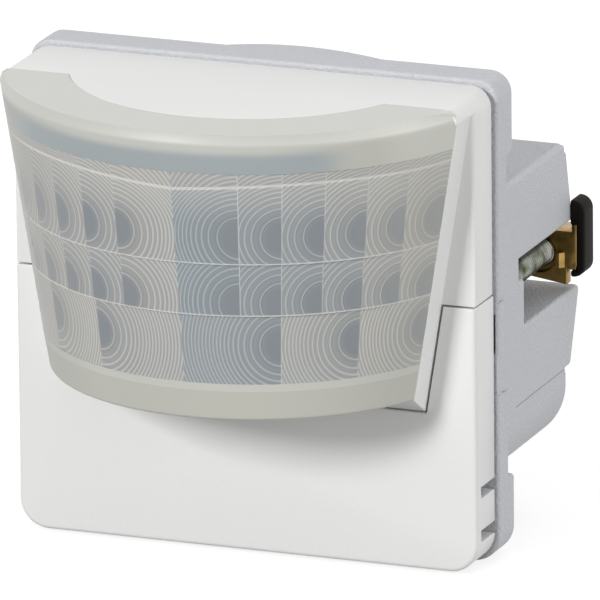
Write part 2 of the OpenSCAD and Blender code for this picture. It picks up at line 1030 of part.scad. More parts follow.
module rear_housing() {
    color("silver")
        difference() {
            union() {
                difference() {
                    union() {
                        slab(frame_side_y, housing_d)
                            housing_outline(0);
                        slab(housing_d - over, housing_d + foot_step)
                            intersection() {
                                housing_outline(0);
                                translate([-housing_w, cover_foot_z - fit_gap - face_h])
                                    square([2 * housing_w, face_h]);
                            }
                        slab(0, crown_d)
                            crown_outline(0);
                    }
                    housing_cavity();
                    slab(-over, crown_d - housing_wall)
                        crown_outline(housing_wall);
                    both_sides()
                        slab(pocket_front_y, housing_d + over)
                            pocket_outline(0);
                }
                housing_posts();
                both_sides()
                    block(
                        [housing_w / 2 - stop_t, pocket_front_y - over, pocket_z - over],
                        [housing_w / 2, pocket_front_y + stop_l, pocket_z + stop_h]
                    );
            }
            both_sides() {
                rod(claw_x, claw_z, frame_side_y - over, pocket_front_y + over, claw_hole_r);
                for (z = frame_boss_z)
                    rod(frame_boss_x, z, frame_side_y - over, frame_side_y + frame_screw_l + over,
                        frame_screw_r + turn_gap);
                for (z = post_z)
                    rod(post_x, z, control_rear_y - over, control_rear_y + board_screw_l + over, post_bore_r);
                rod(post_x, post_z[1], housing_d - cover_screw_l - over, housing_d + over, post_bore_r);
            }
            block(
                [wire_x[0] - cage_w / 2 - window_gap, housing_in_y - over, wire_z - cage_h / 2 - window_gap],
                [wire_x[wire_n - 1] + cage_w / 2 + window_gap, housing_d + over,
                    wire_z + cage_h / 2 + window_gap]
            );
        }
}

module terminal_cover() {
    color("silver")
        difference() {
            bar(-housing_w / 2, housing_w / 2)
                polygon([
                    [housing_d, cover_foot_z],
                    [housing_d + cover_foot_d, cover_foot_z],
                    [housing_d + hump_d, hump_z],
                    [housing_d + cover_top_d, cover_top_z],
                    [housing_d, cover_top_z]
                ]);
            both_sides()
                slab(pocket_front_y, housing_d + hump_d + over)
                    pocket_outline(0);
            block(
                [wire_x[0] - cage_w / 2 - window_gap, housing_d - over, wire_z - cage_h / 2 - window_gap],
                [wire_x[wire_n - 1] + cage_w / 2 + window_gap, terminal_in_y,
                    wire_z + cage_h / 2 + window_gap]
            );
            for (x = wire_x) {
                rod(x, wire_z, terminal_in_y - over, entry_y + over, wire_r);
                rod(x, wire_z, entry_y, housing_d + hump_d + over, entry_r);
            }
            for (x = [-post_x, post_x])
                rod(x, post_z[1], housing_d - over, housing_d + hump_d, board_screw_r + fit_gap);
        }
}

// Screws that hold the terminal cover from behind
module cover_screws() {
    color("lightgray")
        rotate([0, 0, 180])
            for (x = [-post_x, post_x])
                screw(x, post_z[1], -housing_d - hump_d / 2, board_head_r, board_head_h, board_screw_r,
                    cover_screw_l);
}

// Side outline of the claw's wing, grown for the pad over it
module wing_outline(grow) {
    translate([wing_y + wing_l / 2, 0])
        soft_rect(
            wing_l + 2 * grow,
            wing_foot_z - grow,
            wing_foot_z + wing_h + grow,
            wing_corner_r,
            wing_corner_r
        );
}

// Bent brass claw: a plate on the screw, a lip on top and a wing at the side
module claw() {
    color("goldenrod")
        difference() {
            union() {
                block(
                    [claw_in_x, claw_depth, claw_foot_z],
                    [plate_side_x, claw_depth + claw_t, claw_head_z]
                );
                block(
                    [claw_in_x, claw_depth, neck_foot_z],
                    [claw_side_x + over, claw_depth + claw_t, claw_head_z]
                );
                block(
                    [claw_in_x, claw_depth, claw_head_z - claw_lip_t],
                    [plate_side_x, claw_depth + claw_lip_l, claw_head_z]
                );
                bar(claw_side_x, claw_side_x + wing_t)
                    wing_outline(0);
            }
            rod(claw_x, claw_z, claw_depth - over, claw_depth + claw_t + over, claw_hole_r);
        }
}

module right_claw() {
    claw();
}

module left_claw() {
    mirror([1, 0, 0])
        claw();
}

module claw_screw() {
    color("lightgray")
        screw(claw_x, claw_z, claw_head_y + claw_head_h, claw_head_r, claw_head_h, claw_screw_r,
            claw_screw_end_y - claw_head_y - claw_head_h);
}

module right_claw_screw() {
    claw_screw();
}

module left_claw_screw() {
    mirror([1, 0, 0])
        claw_screw();
}

// Rubber pad on the outside of the claw's wing
module claw_pad() {
    color("black")
        bar(claw_side_x + wing_t, claw_side_x + wing_t + pad_t)
            wing_outline(pad_over);
}

module right_claw_pad() {
    claw_pad();
}

module left_claw_pad() {
    mirror([1, 0, 0])
        claw_pad();
}

upper_cover();
lower_cover();
fresnel_lens();
lens_retainer();
sensor_shade();
sensor_board();
sensor_can();
sensor_window();
sensor_leads();
light_sensor();
status_light();
sensor_pins();
mounting_frame();
frame_screws();
control_panel();
time_dial();
light_dial();
range_dial();
dial_pots();
mode_switch();
mode_slider();
control_board();
controller_chip();
board_screws();
board_pins();
power_board();
relay();
film_capacitor();
electrolytic_capacitors();
choke();
terminal_cages();
terminal_springs();
rear_housing();
terminal_cover();
cover_screws();
left_claw();
right_claw();
left_claw_screw();
right_claw_screw();
left_claw_pad();
right_claw_pad();
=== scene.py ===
"""Motion sensor light switch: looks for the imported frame, laid out as an add-on and run as a script."""
import math

import bmesh
import bpy
from bpy.props import FloatProperty, FloatVectorProperty, IntProperty, PointerProperty
from mathutils import Matrix, Vector


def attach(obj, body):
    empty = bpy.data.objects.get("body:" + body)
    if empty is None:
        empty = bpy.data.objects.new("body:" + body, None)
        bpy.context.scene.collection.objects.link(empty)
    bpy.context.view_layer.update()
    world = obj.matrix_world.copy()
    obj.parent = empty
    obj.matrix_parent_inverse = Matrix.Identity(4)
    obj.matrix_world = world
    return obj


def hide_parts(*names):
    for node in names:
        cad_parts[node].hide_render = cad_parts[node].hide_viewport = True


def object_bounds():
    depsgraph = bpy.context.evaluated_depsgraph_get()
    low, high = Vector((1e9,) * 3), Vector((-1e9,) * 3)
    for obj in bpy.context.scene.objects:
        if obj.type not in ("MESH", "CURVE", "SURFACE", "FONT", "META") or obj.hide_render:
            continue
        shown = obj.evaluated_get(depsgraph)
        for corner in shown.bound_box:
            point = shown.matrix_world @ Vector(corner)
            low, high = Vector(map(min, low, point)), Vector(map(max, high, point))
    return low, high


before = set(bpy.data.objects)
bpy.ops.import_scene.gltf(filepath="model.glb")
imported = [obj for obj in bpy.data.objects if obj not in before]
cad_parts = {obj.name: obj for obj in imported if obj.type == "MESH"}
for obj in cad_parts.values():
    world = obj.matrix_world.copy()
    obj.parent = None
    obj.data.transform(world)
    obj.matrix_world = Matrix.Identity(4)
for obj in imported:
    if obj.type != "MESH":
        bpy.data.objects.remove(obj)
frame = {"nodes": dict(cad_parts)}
CAD_BOX = [list(corner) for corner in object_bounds()]

bl_info = {
    "name": "Motion sensor light switch",
    "version": (1, 0, 0),
    "blender": (4, 5, 0),
    "location": "3D View > Sidebar > Sensor switch",
    "description": "Dresses the packed frame of a motion sensor light switch",
    "category": "Object",
}

MM = 0.001

# Lens: an upright cone about an axis behind the face, in millimetres
LENS_AXIS_Y = -5.3
LENS_FOOT_Z = -6.0
LENS_TOP_Z = 25.0
LENS_REAR_Y = -13.9
LENS_FOOT_R = 21.64
LENS_TAPER = 0.1516
LENS_WALL = 1.2
LENS_INSIDE_R = 7.0
LEDGE_Z = 23.7
LEDGE_END = math.radians(40)
RIM_INSET = 0.42
# Its three rows of small lenses: heights, optical centres, angles of their edges from the front, and
# how much painted shade of the dark inside shows through each, from the left end to the right end
NARROW = (0.0, 16.0, 26.4, 36.8, 47.2, 57.6, 68.0)
WIDE = (0.0, 26.4, 47.2, 68.0)
ROWS = {
    "lens_row_upper": {"low": 11.0, "high": 20.85, "crease": 19.65, "centre": 13.9, "edges": NARROW,
                       "clear": (0.0, 0.0, 0.1, 0.25, 0.4, 0.25, 1.0, 0.85, 0.75, 0.5, 0.25, 0.0)},
    "lens_row_middle": {"low": 5.4, "high": 11.0, "centre": 6.7, "edges": NARROW,
                        "clear": (0.0, 0.0, 0.1, 0.3, 0.4, 0.3, 1.0, 0.9, 0.75, 0.6, 0.3, 0.0)},
    "lens_row_lower": {"low": -2.0, "high": 5.4, "centre": 2.2, "edges": WIDE,
                       "clear": (0.0, 0.1, 0.3, 0.85, 0.35, 0.1)},
}
FIELD_END = 73.0
FIELD_FADE = (40.0, 64.0)
# Small lenses left of this angle are turned a little towards it, by this share of their distance
FIELD_TURN_END = 37.0
FIELD_TURN = 0.027
ROW_FLOOR_DEPTH = 0.5
# The upper row's crease dips towards the middle, and takes the row along this far below it
CREASE_DIP = 0.75
CREASE_HALF = 37.0
CREASE_REACH = 4.0
CREASE_BEND = 1.6
# Half heights of the painted highlights along the edges under the rows and along the crease
EDGE_HALF = 0.07
CREASE_EDGE_HALF = 0.14
# How far each row lies inside the cone at its foot, its head or crease, and above the crease
ROW_INSET = (0.05, 0.3, 0.06)

# Roof nose that the lens's top is cut round, and the face's upper corners
NOSE_Y = -6.4204
NOSE_R = 18.7796
NOSE_ROOT_Y = -14.4
ROOT_HALF = 23.9
ROOF_UNDER_Z = 23.4
FACE_HALF = 25.0
LENS_CORNER_R = 1.9
LENS_GAP = 0.05

# Planes that tell edges apart: the covers' face, seam and rims, and the housing's joints
FACE_Y = -10.0
SEAM_Z = 3.1
RIM_HALF = 24.0
JOINT_FRONT_Y = -1.9
JOINT_REAR_Y = 15.4
# An edge that turns by more than this is sharp, and points nearer than these are one
SHARP = math.radians(30)
MERGE = 0.002 * MM
EXACT = 1e-7
SIDES = {"left": -1, "right": 1}
# Recesses in the sides, as low and high corners on the right: the frame's leave a latch tongue with a
# slot before it, and the housing's is its parting line
RECESSES = {
    "mounting_frame": (((25.2, -2.8, -7.6), (26, 0.5, 2.6)), ((25.2, -5, -7.6), (26, -2.7, -3.3)),
                       ((25.2, -5, 2.1), (26, -2.7, 2.6)), ((24.3, -4.6, -3.2), (25.04, -2.6, 0.9))),
    "rear_housing": (((25.1, 1, -10.4), (26, 16, -10.3)),),
}
# Claw screws: their axis, the ends of the head, the shank's end, the rounded edge and the slot
SCREW_X, SCREW_Z = 21.6, 1.2
SCREW_HEAD_Y = (-4.2, -2.9)
SCREW_END_Y = 19.8
SCREW_EDGE = 0.25
SLOT_DEPTH = 0.65
# The right claw, as corners and radii: the block that shears its foot, with its place and turn, the tab
# and its fold, the seat and the bush round the screw, and the rubber cap with its opening
CLAW_SHEAR = ((-9, 16, -4), (1, 19, 0))
CLAW_SHEAR_AT = (24.9, 0, -1.95)
CLAW_SHEAR_TURN = math.radians(8)
CLAW_TAB = ((23.7, 16.75, -0.1), (24.6, 17.4, 1.5))
TAB_FOLD = 0.5
SEAT_R, SEAT_Y, SEAT_DEPTH = 2.05, 17.2, 1.4
BUSH_R, BUSH_Y = (1.495, 1.8), (17.95, 18.35)
CAP = ((25.22, 17.0, -1.0), (26.79, 19.8, 7.2))
CAP_OPENING = ((24.0, 16.0, -0.3), (25.9, 21.0, 4.5))
# Controls on the panel, and the bars of their scales: ends from the axis, half width and half height
PANEL_Y = -5.6
CONTROL_Z = -13.2
DIALS_X = {"time_dial": -13.35, "light_dial": -4.45, "range_dial": 4.45}
SLIDER_X = 13.35
DIAL_TURNS = range(-135, 136, 27)
DIAL_BAR = (3.55, 3.95)
SLIDER_STOPS = (-2, 0, 2)
SLIDER_BAR = (2.0, 2.6)
BAR_HALF = (0.08, 0.05)
BAR_EDGE = 0.03

# Camera, read from the photograph: the point it is turned about, its aim beside that, and its roll
CAMERA_PIVOT = Vector((0, FACE_Y, 0)) * MM
CAMERA_AIM = (5.649, 1.468)
CAMERA_ROLL = math.radians(0.66)
# Lamps: place and width, in metres
LAMPS = {
    "key": ((-0.4, -1.0, 0.48), 0.25),
    "fill": ((1.1, -0.28, 0.17), 0.6),
    "top": ((0.3, 0.4, 1.2), 0.8),
}
# The floor's own tone, and the glow that makes it white to the camera
FLOOR_TONE = "#A0A0A0"
FLOOR_GLOW = 0.79


def linear(hex_colour):
    """The linear colour of an sRGB hex value."""
    parts = [int(hex_colour[i:i + 2], 16) / 255 for i in (1, 3, 5)]
    return [p / 12.92 if p <= 0.04045 else ((p + 0.055) / 1.055) ** 2.4 for p in parts]


def rgba(colour):
    """A colour with full alpha, as node sockets take it."""
    return (*colour, 1.0)


def add_node(tree, kind, inputs=None, **settings):
    """Add a shader node, set its properties, and fill or link its inputs."""
    made = tree.nodes.new("ShaderNode" + kind)
    for name, value in settings.items():
        setattr(made, name, value)
    for key, value in (inputs or {}).items():
        if isinstance(value, bpy.types.NodeSocket):
            tree.links.new(value, made.inputs[key])
        else:
            made.inputs[key].default_value = value
    return made


# Steps with sockets of their own: their node, its inputs, settings and output
OWN_STEPS = {
    "RAMP": ("MapRange", range(5), {}, 0),
    "FADE": ("MapRange", range(5), {"interpolation_type": "SMOOTHSTEP"}, 0),
    "COMPARE": ("Math", range(3), {"operation": "COMPARE"}, 0),
    "PICK": ("Mix", (0, 2, 3), {}, 0),
    "BLEND": ("Mix", (0, 6, 7), {"data_type": "RGBA"}, 2),
}


def grow(tree, step):
    """The socket of a step: what it does and its values, which may be steps. Maths runs along the values."""
    deed, *values = step
    values = [grow(tree, v) if isinstance(v, tuple) and isinstance(v[0], str) else v for v in values]
    if deed in OWN_STEPS:
        kind, sockets, settings, out = OWN_STEPS[deed]
        return add_node(tree, kind, dict(zip(sockets, values)), **settings).outputs[out]
    total, *others = values
    for value in others or (0.0,):
        total = add_node(tree, "Math", {0: total, 1: value}, operation=deed).outputs[0]
    return total


def number(name, what, default, **more):
    """A number in a property group."""
    return FloatProperty(name=name, description=what, default=default, **more)


def size(name, what, default):
    """A length in a property group, given in millimetres."""
    return number(name, what, default * MM, unit="LENGTH", precision=5)


def tint(name, what, default):
    """A colour in a property group, given as sRGB hex."""
    return FloatVectorProperty(name=name, description=what, default=linear(default), subtype="COLOR",
                               min=0, max=1)


class EdgeSizes(bpy.types.PropertyGroup):
    """Rounding of the moulded and cut edges."""

    cover: size("Covers", "Radius of the covers' edges", 0.45)
    frame: size("Frame", "Radius of the frame's edges", 0.35)
    housing: size("Housing", "Radius of the edges of the housing and its terminal cover", 0.4)
    claw: size("Claws", "Radius of the claws' sheared edges", 0.12)
    pad: size("Caps", "Radius of the rubber caps' edges", 0.25)
    cap_corner: size("Cap corners", "Radius of the rubber caps' ends", 1.3)
    small: size("Small parts", "Radius of the edges of dials and sliders", 0.15)


class LensSizes(bpy.types.PropertyGroup):
    """Shape of the lens and its rings."""

    top_round: size("Ledge", "Radius of the ledge under the lens's rim", 0.8)
    foot_round: size("Foot round", "Radius of the lens's lower edge", 0.4)
    zone: size("First ring", "Radius of the ring round each optical centre", 2.24)
    pitch: size("Ring pitch", "Spacing of the outer rings", 0.38)
    land: size("Ring crest", "Half width of a ring's crest", 0.05)
    depth: size("Ring depth", "Depth of the grooves between rings", 0.05)
    skirt: size("Skirt", "Depth of each small lens's edge", 0.5)
    steps: IntProperty(name="Steps", description="Sides of each ring", default=96, min=24)


class ScrewSizes(bpy.types.PropertyGroup):
    """Shape of the claw screws."""

    head: size("Head", "Radius of the head", 2.5)
    slot: size("Slot", "Width of the head's slot", 0.9)
    crest: size("Crest", "Radius of the thread's crest", 1.49)
    root: size("Root", "Radius of the thread's root", 1.2)
    thread: size("Pitch", "Rise of the thread in a turn", 0.5)


class Finishes(bpy.types.PropertyGroup):
    """Colours of the finishes."""

    cover: tint("Covers", "White thermoplastic", "#EBEBEA")
    lens_plain: tint("Lens", "Milky polyethylene", "#D4D4CF")
    # Painted shade: the milky tone where less light falls, on the lens's foot and walls
    lens_shaded: tint("Lens foot", "Milky polyethylene over the shaded foot", "#C0C0B7")
    # Painted light: the lens's right end, paler as if lit through from behind
    lens_pale: tint("Lens, lit through", "Milky polyethylene that light comes through from behind", "#E6E6DF")
    # Painted shade: the dark inside seen through the lens, in a band over the rows
    lens_see_through_shade: tint("Lens, see-through", "Milky polyethylene over the dark inside", "#A1A9AB")
    # Painted shade: the dark inside seen through the grooves
    groove_see_through_shade: tint("Grooves, see-through", "Between the rings over the dark inside", "#949CA1")
    ring_valley: tint("Grooves", "Between the rings at the sides", "#BAB8B3")
    # Painted highlights on the rings' crests, at the sides and where the inside shows through
    crest_highlight: tint("Crests", "Crests of the rings at the sides", "#D6D4CC")
    see_through_crest_highlight: tint("Crests, see-through", "Crests of the rings over the dark inside", "#BAC3C7")
    # Painted shade: the dark inside seen through each small lens's clear middle
    core_see_through_shade: tint("Cores", "Clear middle of each small lens", "#7F858A")
    # Painted shade in the rings' grooves and at the lens's left end
    painted_shade: tint("Groove walls", "Shaded side of the rings", "#9A9A97")
    # Painted highlights along the edges between and under the small lenses
    edge_highlight: tint("Bright edges", "Edges between the small lenses", "#DEDCD8")
    frame: tint("Frame and housing", "Grey thermoplastic", "#C6C8CC")
    brass: tint("Claws", "Brass sheet", "#B99758")
    zinc: tint("Screws", "Zinc plated steel", "#A3A59D")
    zinc_tint: tint("Screws, tinted", "Yellow-green passivation of the zinc", "#4A4F38")
    rubber: tint("Caps", "Black rubber", "#120E0B")
    inner: tint("Retainer", "White thermoplastic inside", "#EDEDED")
    shade: tint("Sensor shade", "Dark thermoplastic", "#6F7278")
    board: tint("Boards", "Green lacquer", "#5A9A7C")
    steel: tint("Steel", "Drawn steel", "#D4D4D3")
    filter: tint("Filter", "Coated sensor window", "#3A3A40")
    gold: tint("Leads", "Gilt wire", "#E4CE95")
    clear: tint("Light sensor", "Clear epoxy", "#EBF0F2")
    red: tint("Status light", "Red epoxy", "#CB5A55")
    panel: tint("Panel", "Pale grey thermoplastic", "#E0E0E0")
    dial: tint("Dials", "White thermoplastic", "#F5F5F3")
    ink: tint("Marks", "Dark grey marks", "#505254")
    pot: tint("Dial cases", "Blue thermoplastic", "#6C90C8")
    switch: tint("Slide switch", "Dark thermoplastic", "#4A4A4C")
    chip: tint("Chip", "Black epoxy", "#464646")
    relay: tint("Relay", "Orange thermoplastic", "#ECB262")
    film: tint("Film capacitor", "Yellow thermoplastic", "#E7CE6C")
    sleeve: tint("Capacitor cans", "Dark blue sleeve", "#61688C")
    ferrite: tint("Choke", "Sintered ferrite", "#817C79")


class StageSizes(bpy.types.PropertyGroup):
    """Camera and lamps."""

    azimuth: number("Azimuth", "Turn to the right", math.radians(21.7), unit="ROTATION")
    elevation: number("Elevation", "Height", math.radians(16.5), unit="ROTATION")
    distance: size("Distance", "Camera to the face's middle", 1407)
    focal: number("Focal length", "On a 36 mm sensor, in millimetres", 833.1)
    key: number("Key lamp", "Watts", 8.5)
    fill: number("Fill lamp", "Watts", 6.1)
    top: number("Top lamp", "Watts", 3.7)
    ambient: number("Ambient", "Strength of the light from all round", 0.385)


def select_only(*objects):
    """Leave just these objects selected, the last of them active."""
    bpy.ops.object.select_all(action="DESELECT")
    for o in objects:
        o.select_set(True)
    bpy.context.view_layer.objects.active = objects[-1]


def edit_all(piece):
    """Go into edit mode with the whole piece selected."""
    select_only(piece)
    bpy.ops.object.mode_set(mode="EDIT")
    bpy.ops.mesh.select_all(action="SELECT")


def leave_edit():
    """Go back to object mode."""
    bpy.ops.object.mode_set(mode="OBJECT")


def modify(piece, kind, **settings):
    """Put a modifier on a piece and apply it."""
    select_only(piece)
    made = piece.modifiers.new(kind.lower(), kind)
    for name, value in settings.items():
        setattr(made, name, value)
    bpy.ops.object.modifier_apply(modifier=made.name)


def smooth(piece, degrees=32):
    """Shade smooth, keeping edges sharper than this angle."""
    select_only(piece)
    bpy.ops.object.shade_smooth_by_angle(angle=math.radians(degrees))


def place(piece, body, slot, finish, *nodes):
    """Give a piece its finish and the body it rides on, and hide the CAD nodes it stands for."""
    piece.data.materials.clear()
    piece.data.materials.append(finish)
    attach(piece, body)
    if nodes:
        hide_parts(*nodes)


def cut(piece, tool, operation="DIFFERENCE"):
    """Cut a piece with a tool, which is used up."""
    modify(piece, "BOOLEAN", object=tool, operation=operation, solver="EXACT")
    bpy.data.objects.remove(tool)


def block(name, low, high):
    """A cuboid between two corners in millimetres."""
    low, high = Vector(low) * MM, Vector(high) * MM
    bpy.ops.object.select_all(action="DESELECT")
    bpy.ops.mesh.primitive_cube_add(size=1, location=(low + high) / 2, scale=high - low)
    piece = bpy.context.object
    piece.name = name
    bpy.ops.object.transform_apply()
    return piece


def side_block(name, low, high, sign):
    """A block given for the right side, or its mirror image on the left."""
    if sign < 0:
        low, high = (-high[0], *low[1:]), (-low[0], *high[1:])
    return block(name, low, high)


def bevel_where(piece, radius, segments, wanted):
    """Bevel the edges that wanted picks by their middle and their run, in millimetres."""
    edit_all(piece)
    bpy.ops.mesh.select_mode(type="EDGE")
    bpy.ops.mesh.select_all(action="DESELECT")
    bm = bmesh.from_edit_mesh(piece.data)
    for e in bm.edges:
        a, b = (v.co / MM for v in e.verts)
        e.select = wanted((a + b) / 2, b - a)
    bm.select_flush_mode()
    bpy.ops.mesh.bevel(offset=radius, segments=segments)
    bpy.ops.mesh.select_mode(type="VERT")
    leave_edit()


def copied(mesh, name):
    """A new piece with its own copy of a mesh."""
    piece = bpy.data.objects.new(name, mesh.copy())
    bpy.context.scene.collection.objects.link(piece)
    return piece


def joined(*pieces):
    """Join pieces into the last of them."""
    select_only(*pieces)
    bpy.ops.object.join()
    return pieces[-1]


def plain_copy(node, name):
    """A copy of a CAD node with its flat faces made whole."""
    piece = copied(frame["nodes"][node].data, name)
    edit_all(piece)
    bpy.ops.mesh.remove_doubles(threshold=MERGE)
    bpy.ops.mesh.dissolve_limited(angle_limit=math.radians(0.5))
    leave_edit()
    return piece


def round_edges(piece, radius, share, segments=4):
    """Round a piece's edges. share gives each its part of the radius, by its middle and if it stands out."""
    low, high = ([f(c) for c in zip(*(v.co for v in piece.data.vertices))] for f in (min, max))
    edit_all(piece)
    bm = bmesh.from_edit_mesh(piece.data)
    weight = bm.edges.layers.float.new("bevel_weight_edge")
    for e in bm.edges:
        turn = e.calc_face_angle_signed(0.0)
        if abs(turn) > SHARP:
            e[weight] = share(*(e.verts[0].co + e.verts[1].co) / (2 * MM), turn > 0)
    bmesh.update_edit_mesh(piece.data)
    leave_edit()
    modify(piece, "BEVEL", width=radius, segments=segments, limit_method="WEIGHT", use_clamp_overlap=False,
           loop_slide=False, miter_outer="MITER_ARC")
    for v in piece.data.vertices:
        v.co = [min(max(c, a), b) for c, a, b in zip(v.co, low, high)]
    smooth(piece)


def outer_edges(x, y, z, out):
    """Only edges that stand out."""
    return 1.0 if out else 0.0


def upper_cover_edges(x, y, z, out):
    """The outside of the upper cover: little at the seam and on the head, none under the roof."""
    inner = y > FACE_Y + 0.1 and max(abs(x), z) < RIM_HALF
    if not out or inner or abs(z - ROOF_UNDER_Z) < 0.05:
        return 0.0
    if abs(z - SEAM_Z) < 0.3:
        return 0.3
    return 0.25 if y < FACE_Y - 0.1 else 1.0


def lower_cover_edges(x, y, z, out):
    """The outside of the lower cover: little at the seam, round the head and at the side slots."""
    if not out or (y > FACE_Y + 0.1 and max(abs(x), -z) < RIM_HALF):
        return 0.0
    head = abs(x) < 24.5 and z > -9
    slots = y > FACE_Y + 2
    return 0.3 if head or slots or z > SEAM_Z - 0.3 else 1.0


def frame_edges(x, y, z, out):
    """The outside of the frame, but for the joint to the housing, which is flush."""
    inner = y < -4 and max(abs(x), abs(z)) < RIM_HALF
    return 0.0 if not out or inner or abs(y - JOINT_FRONT_Y) < 0.1 else 1.0


def housing_edges(x, y, z, out):
    """The outside of the housing, but for the joints to the frame and the terminal cover."""
    flush = abs(y - JOINT_REAR_Y) < 0.05 and z < 13.5
    inner = y < JOINT_REAR_Y - 0.1 and abs(x) < RIM_HALF and -17.5 < z < 13
    return 0.0 if flush or inner or y < JOINT_FRONT_Y + 0.1 else 1.0


def terminal_cover_edges(x, y, z, out):
    """All but the joint to the housing."""
    return 0.0 if y < JOINT_REAR_Y + 0.05 else 1.0


def traced_wire(name, points):
    """A wire drawn through points: one vertex extruded from each to the next."""
    bpy.ops.object.select_all(action="DESELECT")
    bpy.ops.mesh.primitive_plane_add(size=MM)
    piece = bpy.context.object
    piece.name = name
    edit_all(piece)
    bpy.ops.mesh.merge(type="CENTER")
    bpy.ops.transform.translate(value=points[0])
    for a, b in zip(points, points[1:]):
        bpy.ops.mesh.extrude_vertices_move(TRANSFORM_OT_translate={"value": b - a})
    return piece


def spun(name, points, steps, centre=(0, 0, 0), axis=(0, 0, 1)):
    """A full turn of a traced wire about an axis."""
    piece = traced_wire(name, points)
    bpy.ops.mesh.select_all(action="SELECT")
    bpy.ops.mesh.spin(steps=steps, angle=math.tau, center=centre, axis=axis)
    bpy.ops.mesh.select_all(action="SELECT")
    bpy.ops.mesh.remove_doubles(threshold=MERGE)
    bpy.ops.mesh.normals_make_consistent(inside=False)
    leave_edit()
    return piece


def cone_r(z):
    """Outer radius of the lens at height z, in millimetres."""
    return LENS_FOOT_R + LENS_TAPER * (z - LENS_FOOT_Z)


def ring_turn(zone, pitch):
    """The radius where rings of equal area come down to the outer pitch, and how many lie inside it."""
    return zone * zone / (2 * pitch), zone * zone / (4 * pitch * pitch)


def field_depth(angle):
    """How far the rows are let in at an angle round the lens: fully in front, not at all at its sides."""
    t = min(max((FIELD_FADE[1] - abs(angle)) / (FIELD_FADE[1] - FIELD_FADE[0]), 0), 1)
    return t * t * (3 - 2 * t)


def crease_dip(row, z, angle):
    """How far a point of the upper row sinks with its crease, in millimetres."""
    if "crease" not in row:
        return 0.0
    span = row["high"] - row["crease"] if z > row["crease"] else CREASE_REACH
    near = max(1 - abs(z - row["crease"]) / span, 0)
    return -CREASE_DIP * near * max(1 - abs(angle) / CREASE_HALF, 0) ** CREASE_BEND


def row_r(row, z, angle):
    """Radius of a row's surface at a height and an angle, in millimetres."""
    foot, head, crown = ROW_INSET
    low, high = row["low"], row.get("crease", row["high"])
    inset = foot + (head - foot) * (z - low) / (high - low)
    if "crease" in row and z > high:
        inset = head + (crown - head) * (z - high) / (row["high"] - high)
    return cone_r(z) - inset * field_depth(angle)


def on_lens(r, z, angle):
    """A point of the lens, in metres, from millimetres and degrees to the right of the front."""
    a = math.radians(angle)
    return Vector((r * math.sin(a), LENS_AXIS_Y - r * math.cos(a), z)) * MM


def clear_nodes(owner):
    """The emptied node tree of a material or a world."""
    owner.use_nodes = True
    owner.node_tree.nodes.clear()
    return owner.node_tree


def new_finish(name):
    """A material, its node tree and Object coordinates in millimetres."""
    finish = bpy.data.materials.new(name)
    tree = clear_nodes(finish)
    spot = add_node(tree, "TexCoord").outputs["Object"]
    spot = add_node(tree, "VectorMath", {0: spot, "Scale": 1 / MM}, operation="SCALE").outputs[0]
    return finish, tree, spot


def end_finish(finish, inputs):
    """Close a material with its shader."""
    shader = add_node(finish.node_tree, "BsdfPrincipled", inputs)
    add_node(finish.node_tree, "OutputMaterial", {"Surface": shader.outputs[0]})
    return finish


def moulded(name, colour, drift=0.03, grain=0.35, relief=0.02, roughness=0.42, sheen=0.5):
    """Thermoplastic moulded in a finely eroded tool: an even tone, a soft sheen and a fine grain."""
    finish, tree, spot = new_finish(name)
    # Clouds about 11 mm across, and the tool's grain in millimetres
    cloud = add_node(tree, "TexNoise", {"Vector": spot, "Scale": 1 / 11, "Detail": 2.0}).outputs[0]
    speck = add_node(tree, "TexNoise", {"Vector": spot, "Scale": 1 / grain, "Detail": 3.0}).outputs[0]
    dark = [c * (1 - drift) for c in colour]
    tone = grow(tree, ("BLEND", cloud, rgba(dark), rgba(colour)))
    gloss = grow(tree, ("RAMP", speck, 0.0, 1.0, roughness - 0.05, roughness + 0.05))
    skin = add_node(tree, "Bump", {"Height": speck, "Distance": relief * MM})
    return end_finish(finish, {"Base Color": tone, "Roughness": gloss, "Normal": skin.outputs[0],
                               "Specular IOR Level": sheen})


def metal(name, bright, dark, roughness, streak=(1, 1, 1), mark=0.8):
    """Bare or plated metal: cloudy tarnish and fine drawing or rolling marks."""
    finish, tree, spot = new_finish(name)
    # Tarnish about 1.8 mm across, and marks in millimetres, drawn out along the streak
    drawn = add_node(tree, "Mapping", {"Vector": spot, "Scale": streak}).outputs[0]
    cloud = add_node(tree, "TexNoise", {"Vector": spot, "Scale": 1 / 1.8, "Detail": 4.0}).outputs[0]
    lines = add_node(tree, "TexNoise", {"Vector": drawn, "Scale": 1 / mark, "Detail": 3.0}).outputs[0]
    patch = ("RAMP", cloud, 0.35, 0.65, 0.0, 1.0)
    tone = grow(tree, ("BLEND", patch, rgba(dark), rgba(bright)))
    gloss = grow(tree, ("RAMP", lines, 0.0, 1.0, roughness - 0.1, roughness + 0.12))
    skin = add_node(tree, "Bump", {"Height": lines, "Strength": 0.3, "Distance": 0.01 * MM})
    return end_finish(finish, {"Base Color": tone, "Metallic": 1.0, "Roughness": gloss,
                               "Normal": skin.outputs[0]})


def laminate(name, colour):
    """Glass fibre laminate under green lacquer: glossy, with copper tracks showing as paler lines."""
    finish, tree, spot = new_finish(name)
    # Tracks 1.27 mm apart, and a weave of 0.4 mm
    tracks = add_node(tree, "TexBrick", {
        "Vector": spot, "Color1": rgba(colour), "Color2": rgba([c * 0.9 for c in colour]),
        "Mortar": rgba([c * 1.5 for c in colour]), "Scale": 1.0, "Mortar Size": 0.12, "Brick Width": 3.0,
        "Row Height": 1.27})
    weave = add_node(tree, "TexNoise", {"Vector": spot, "Scale": 1 / 0.4}).outputs[0]
    gloss = grow(tree, ("RAMP", weave, 0.0, 1.0, 0.2, 0.35))
    return end_finish(finish, {"Base Color": tracks.outputs[0], "Roughness": gloss})


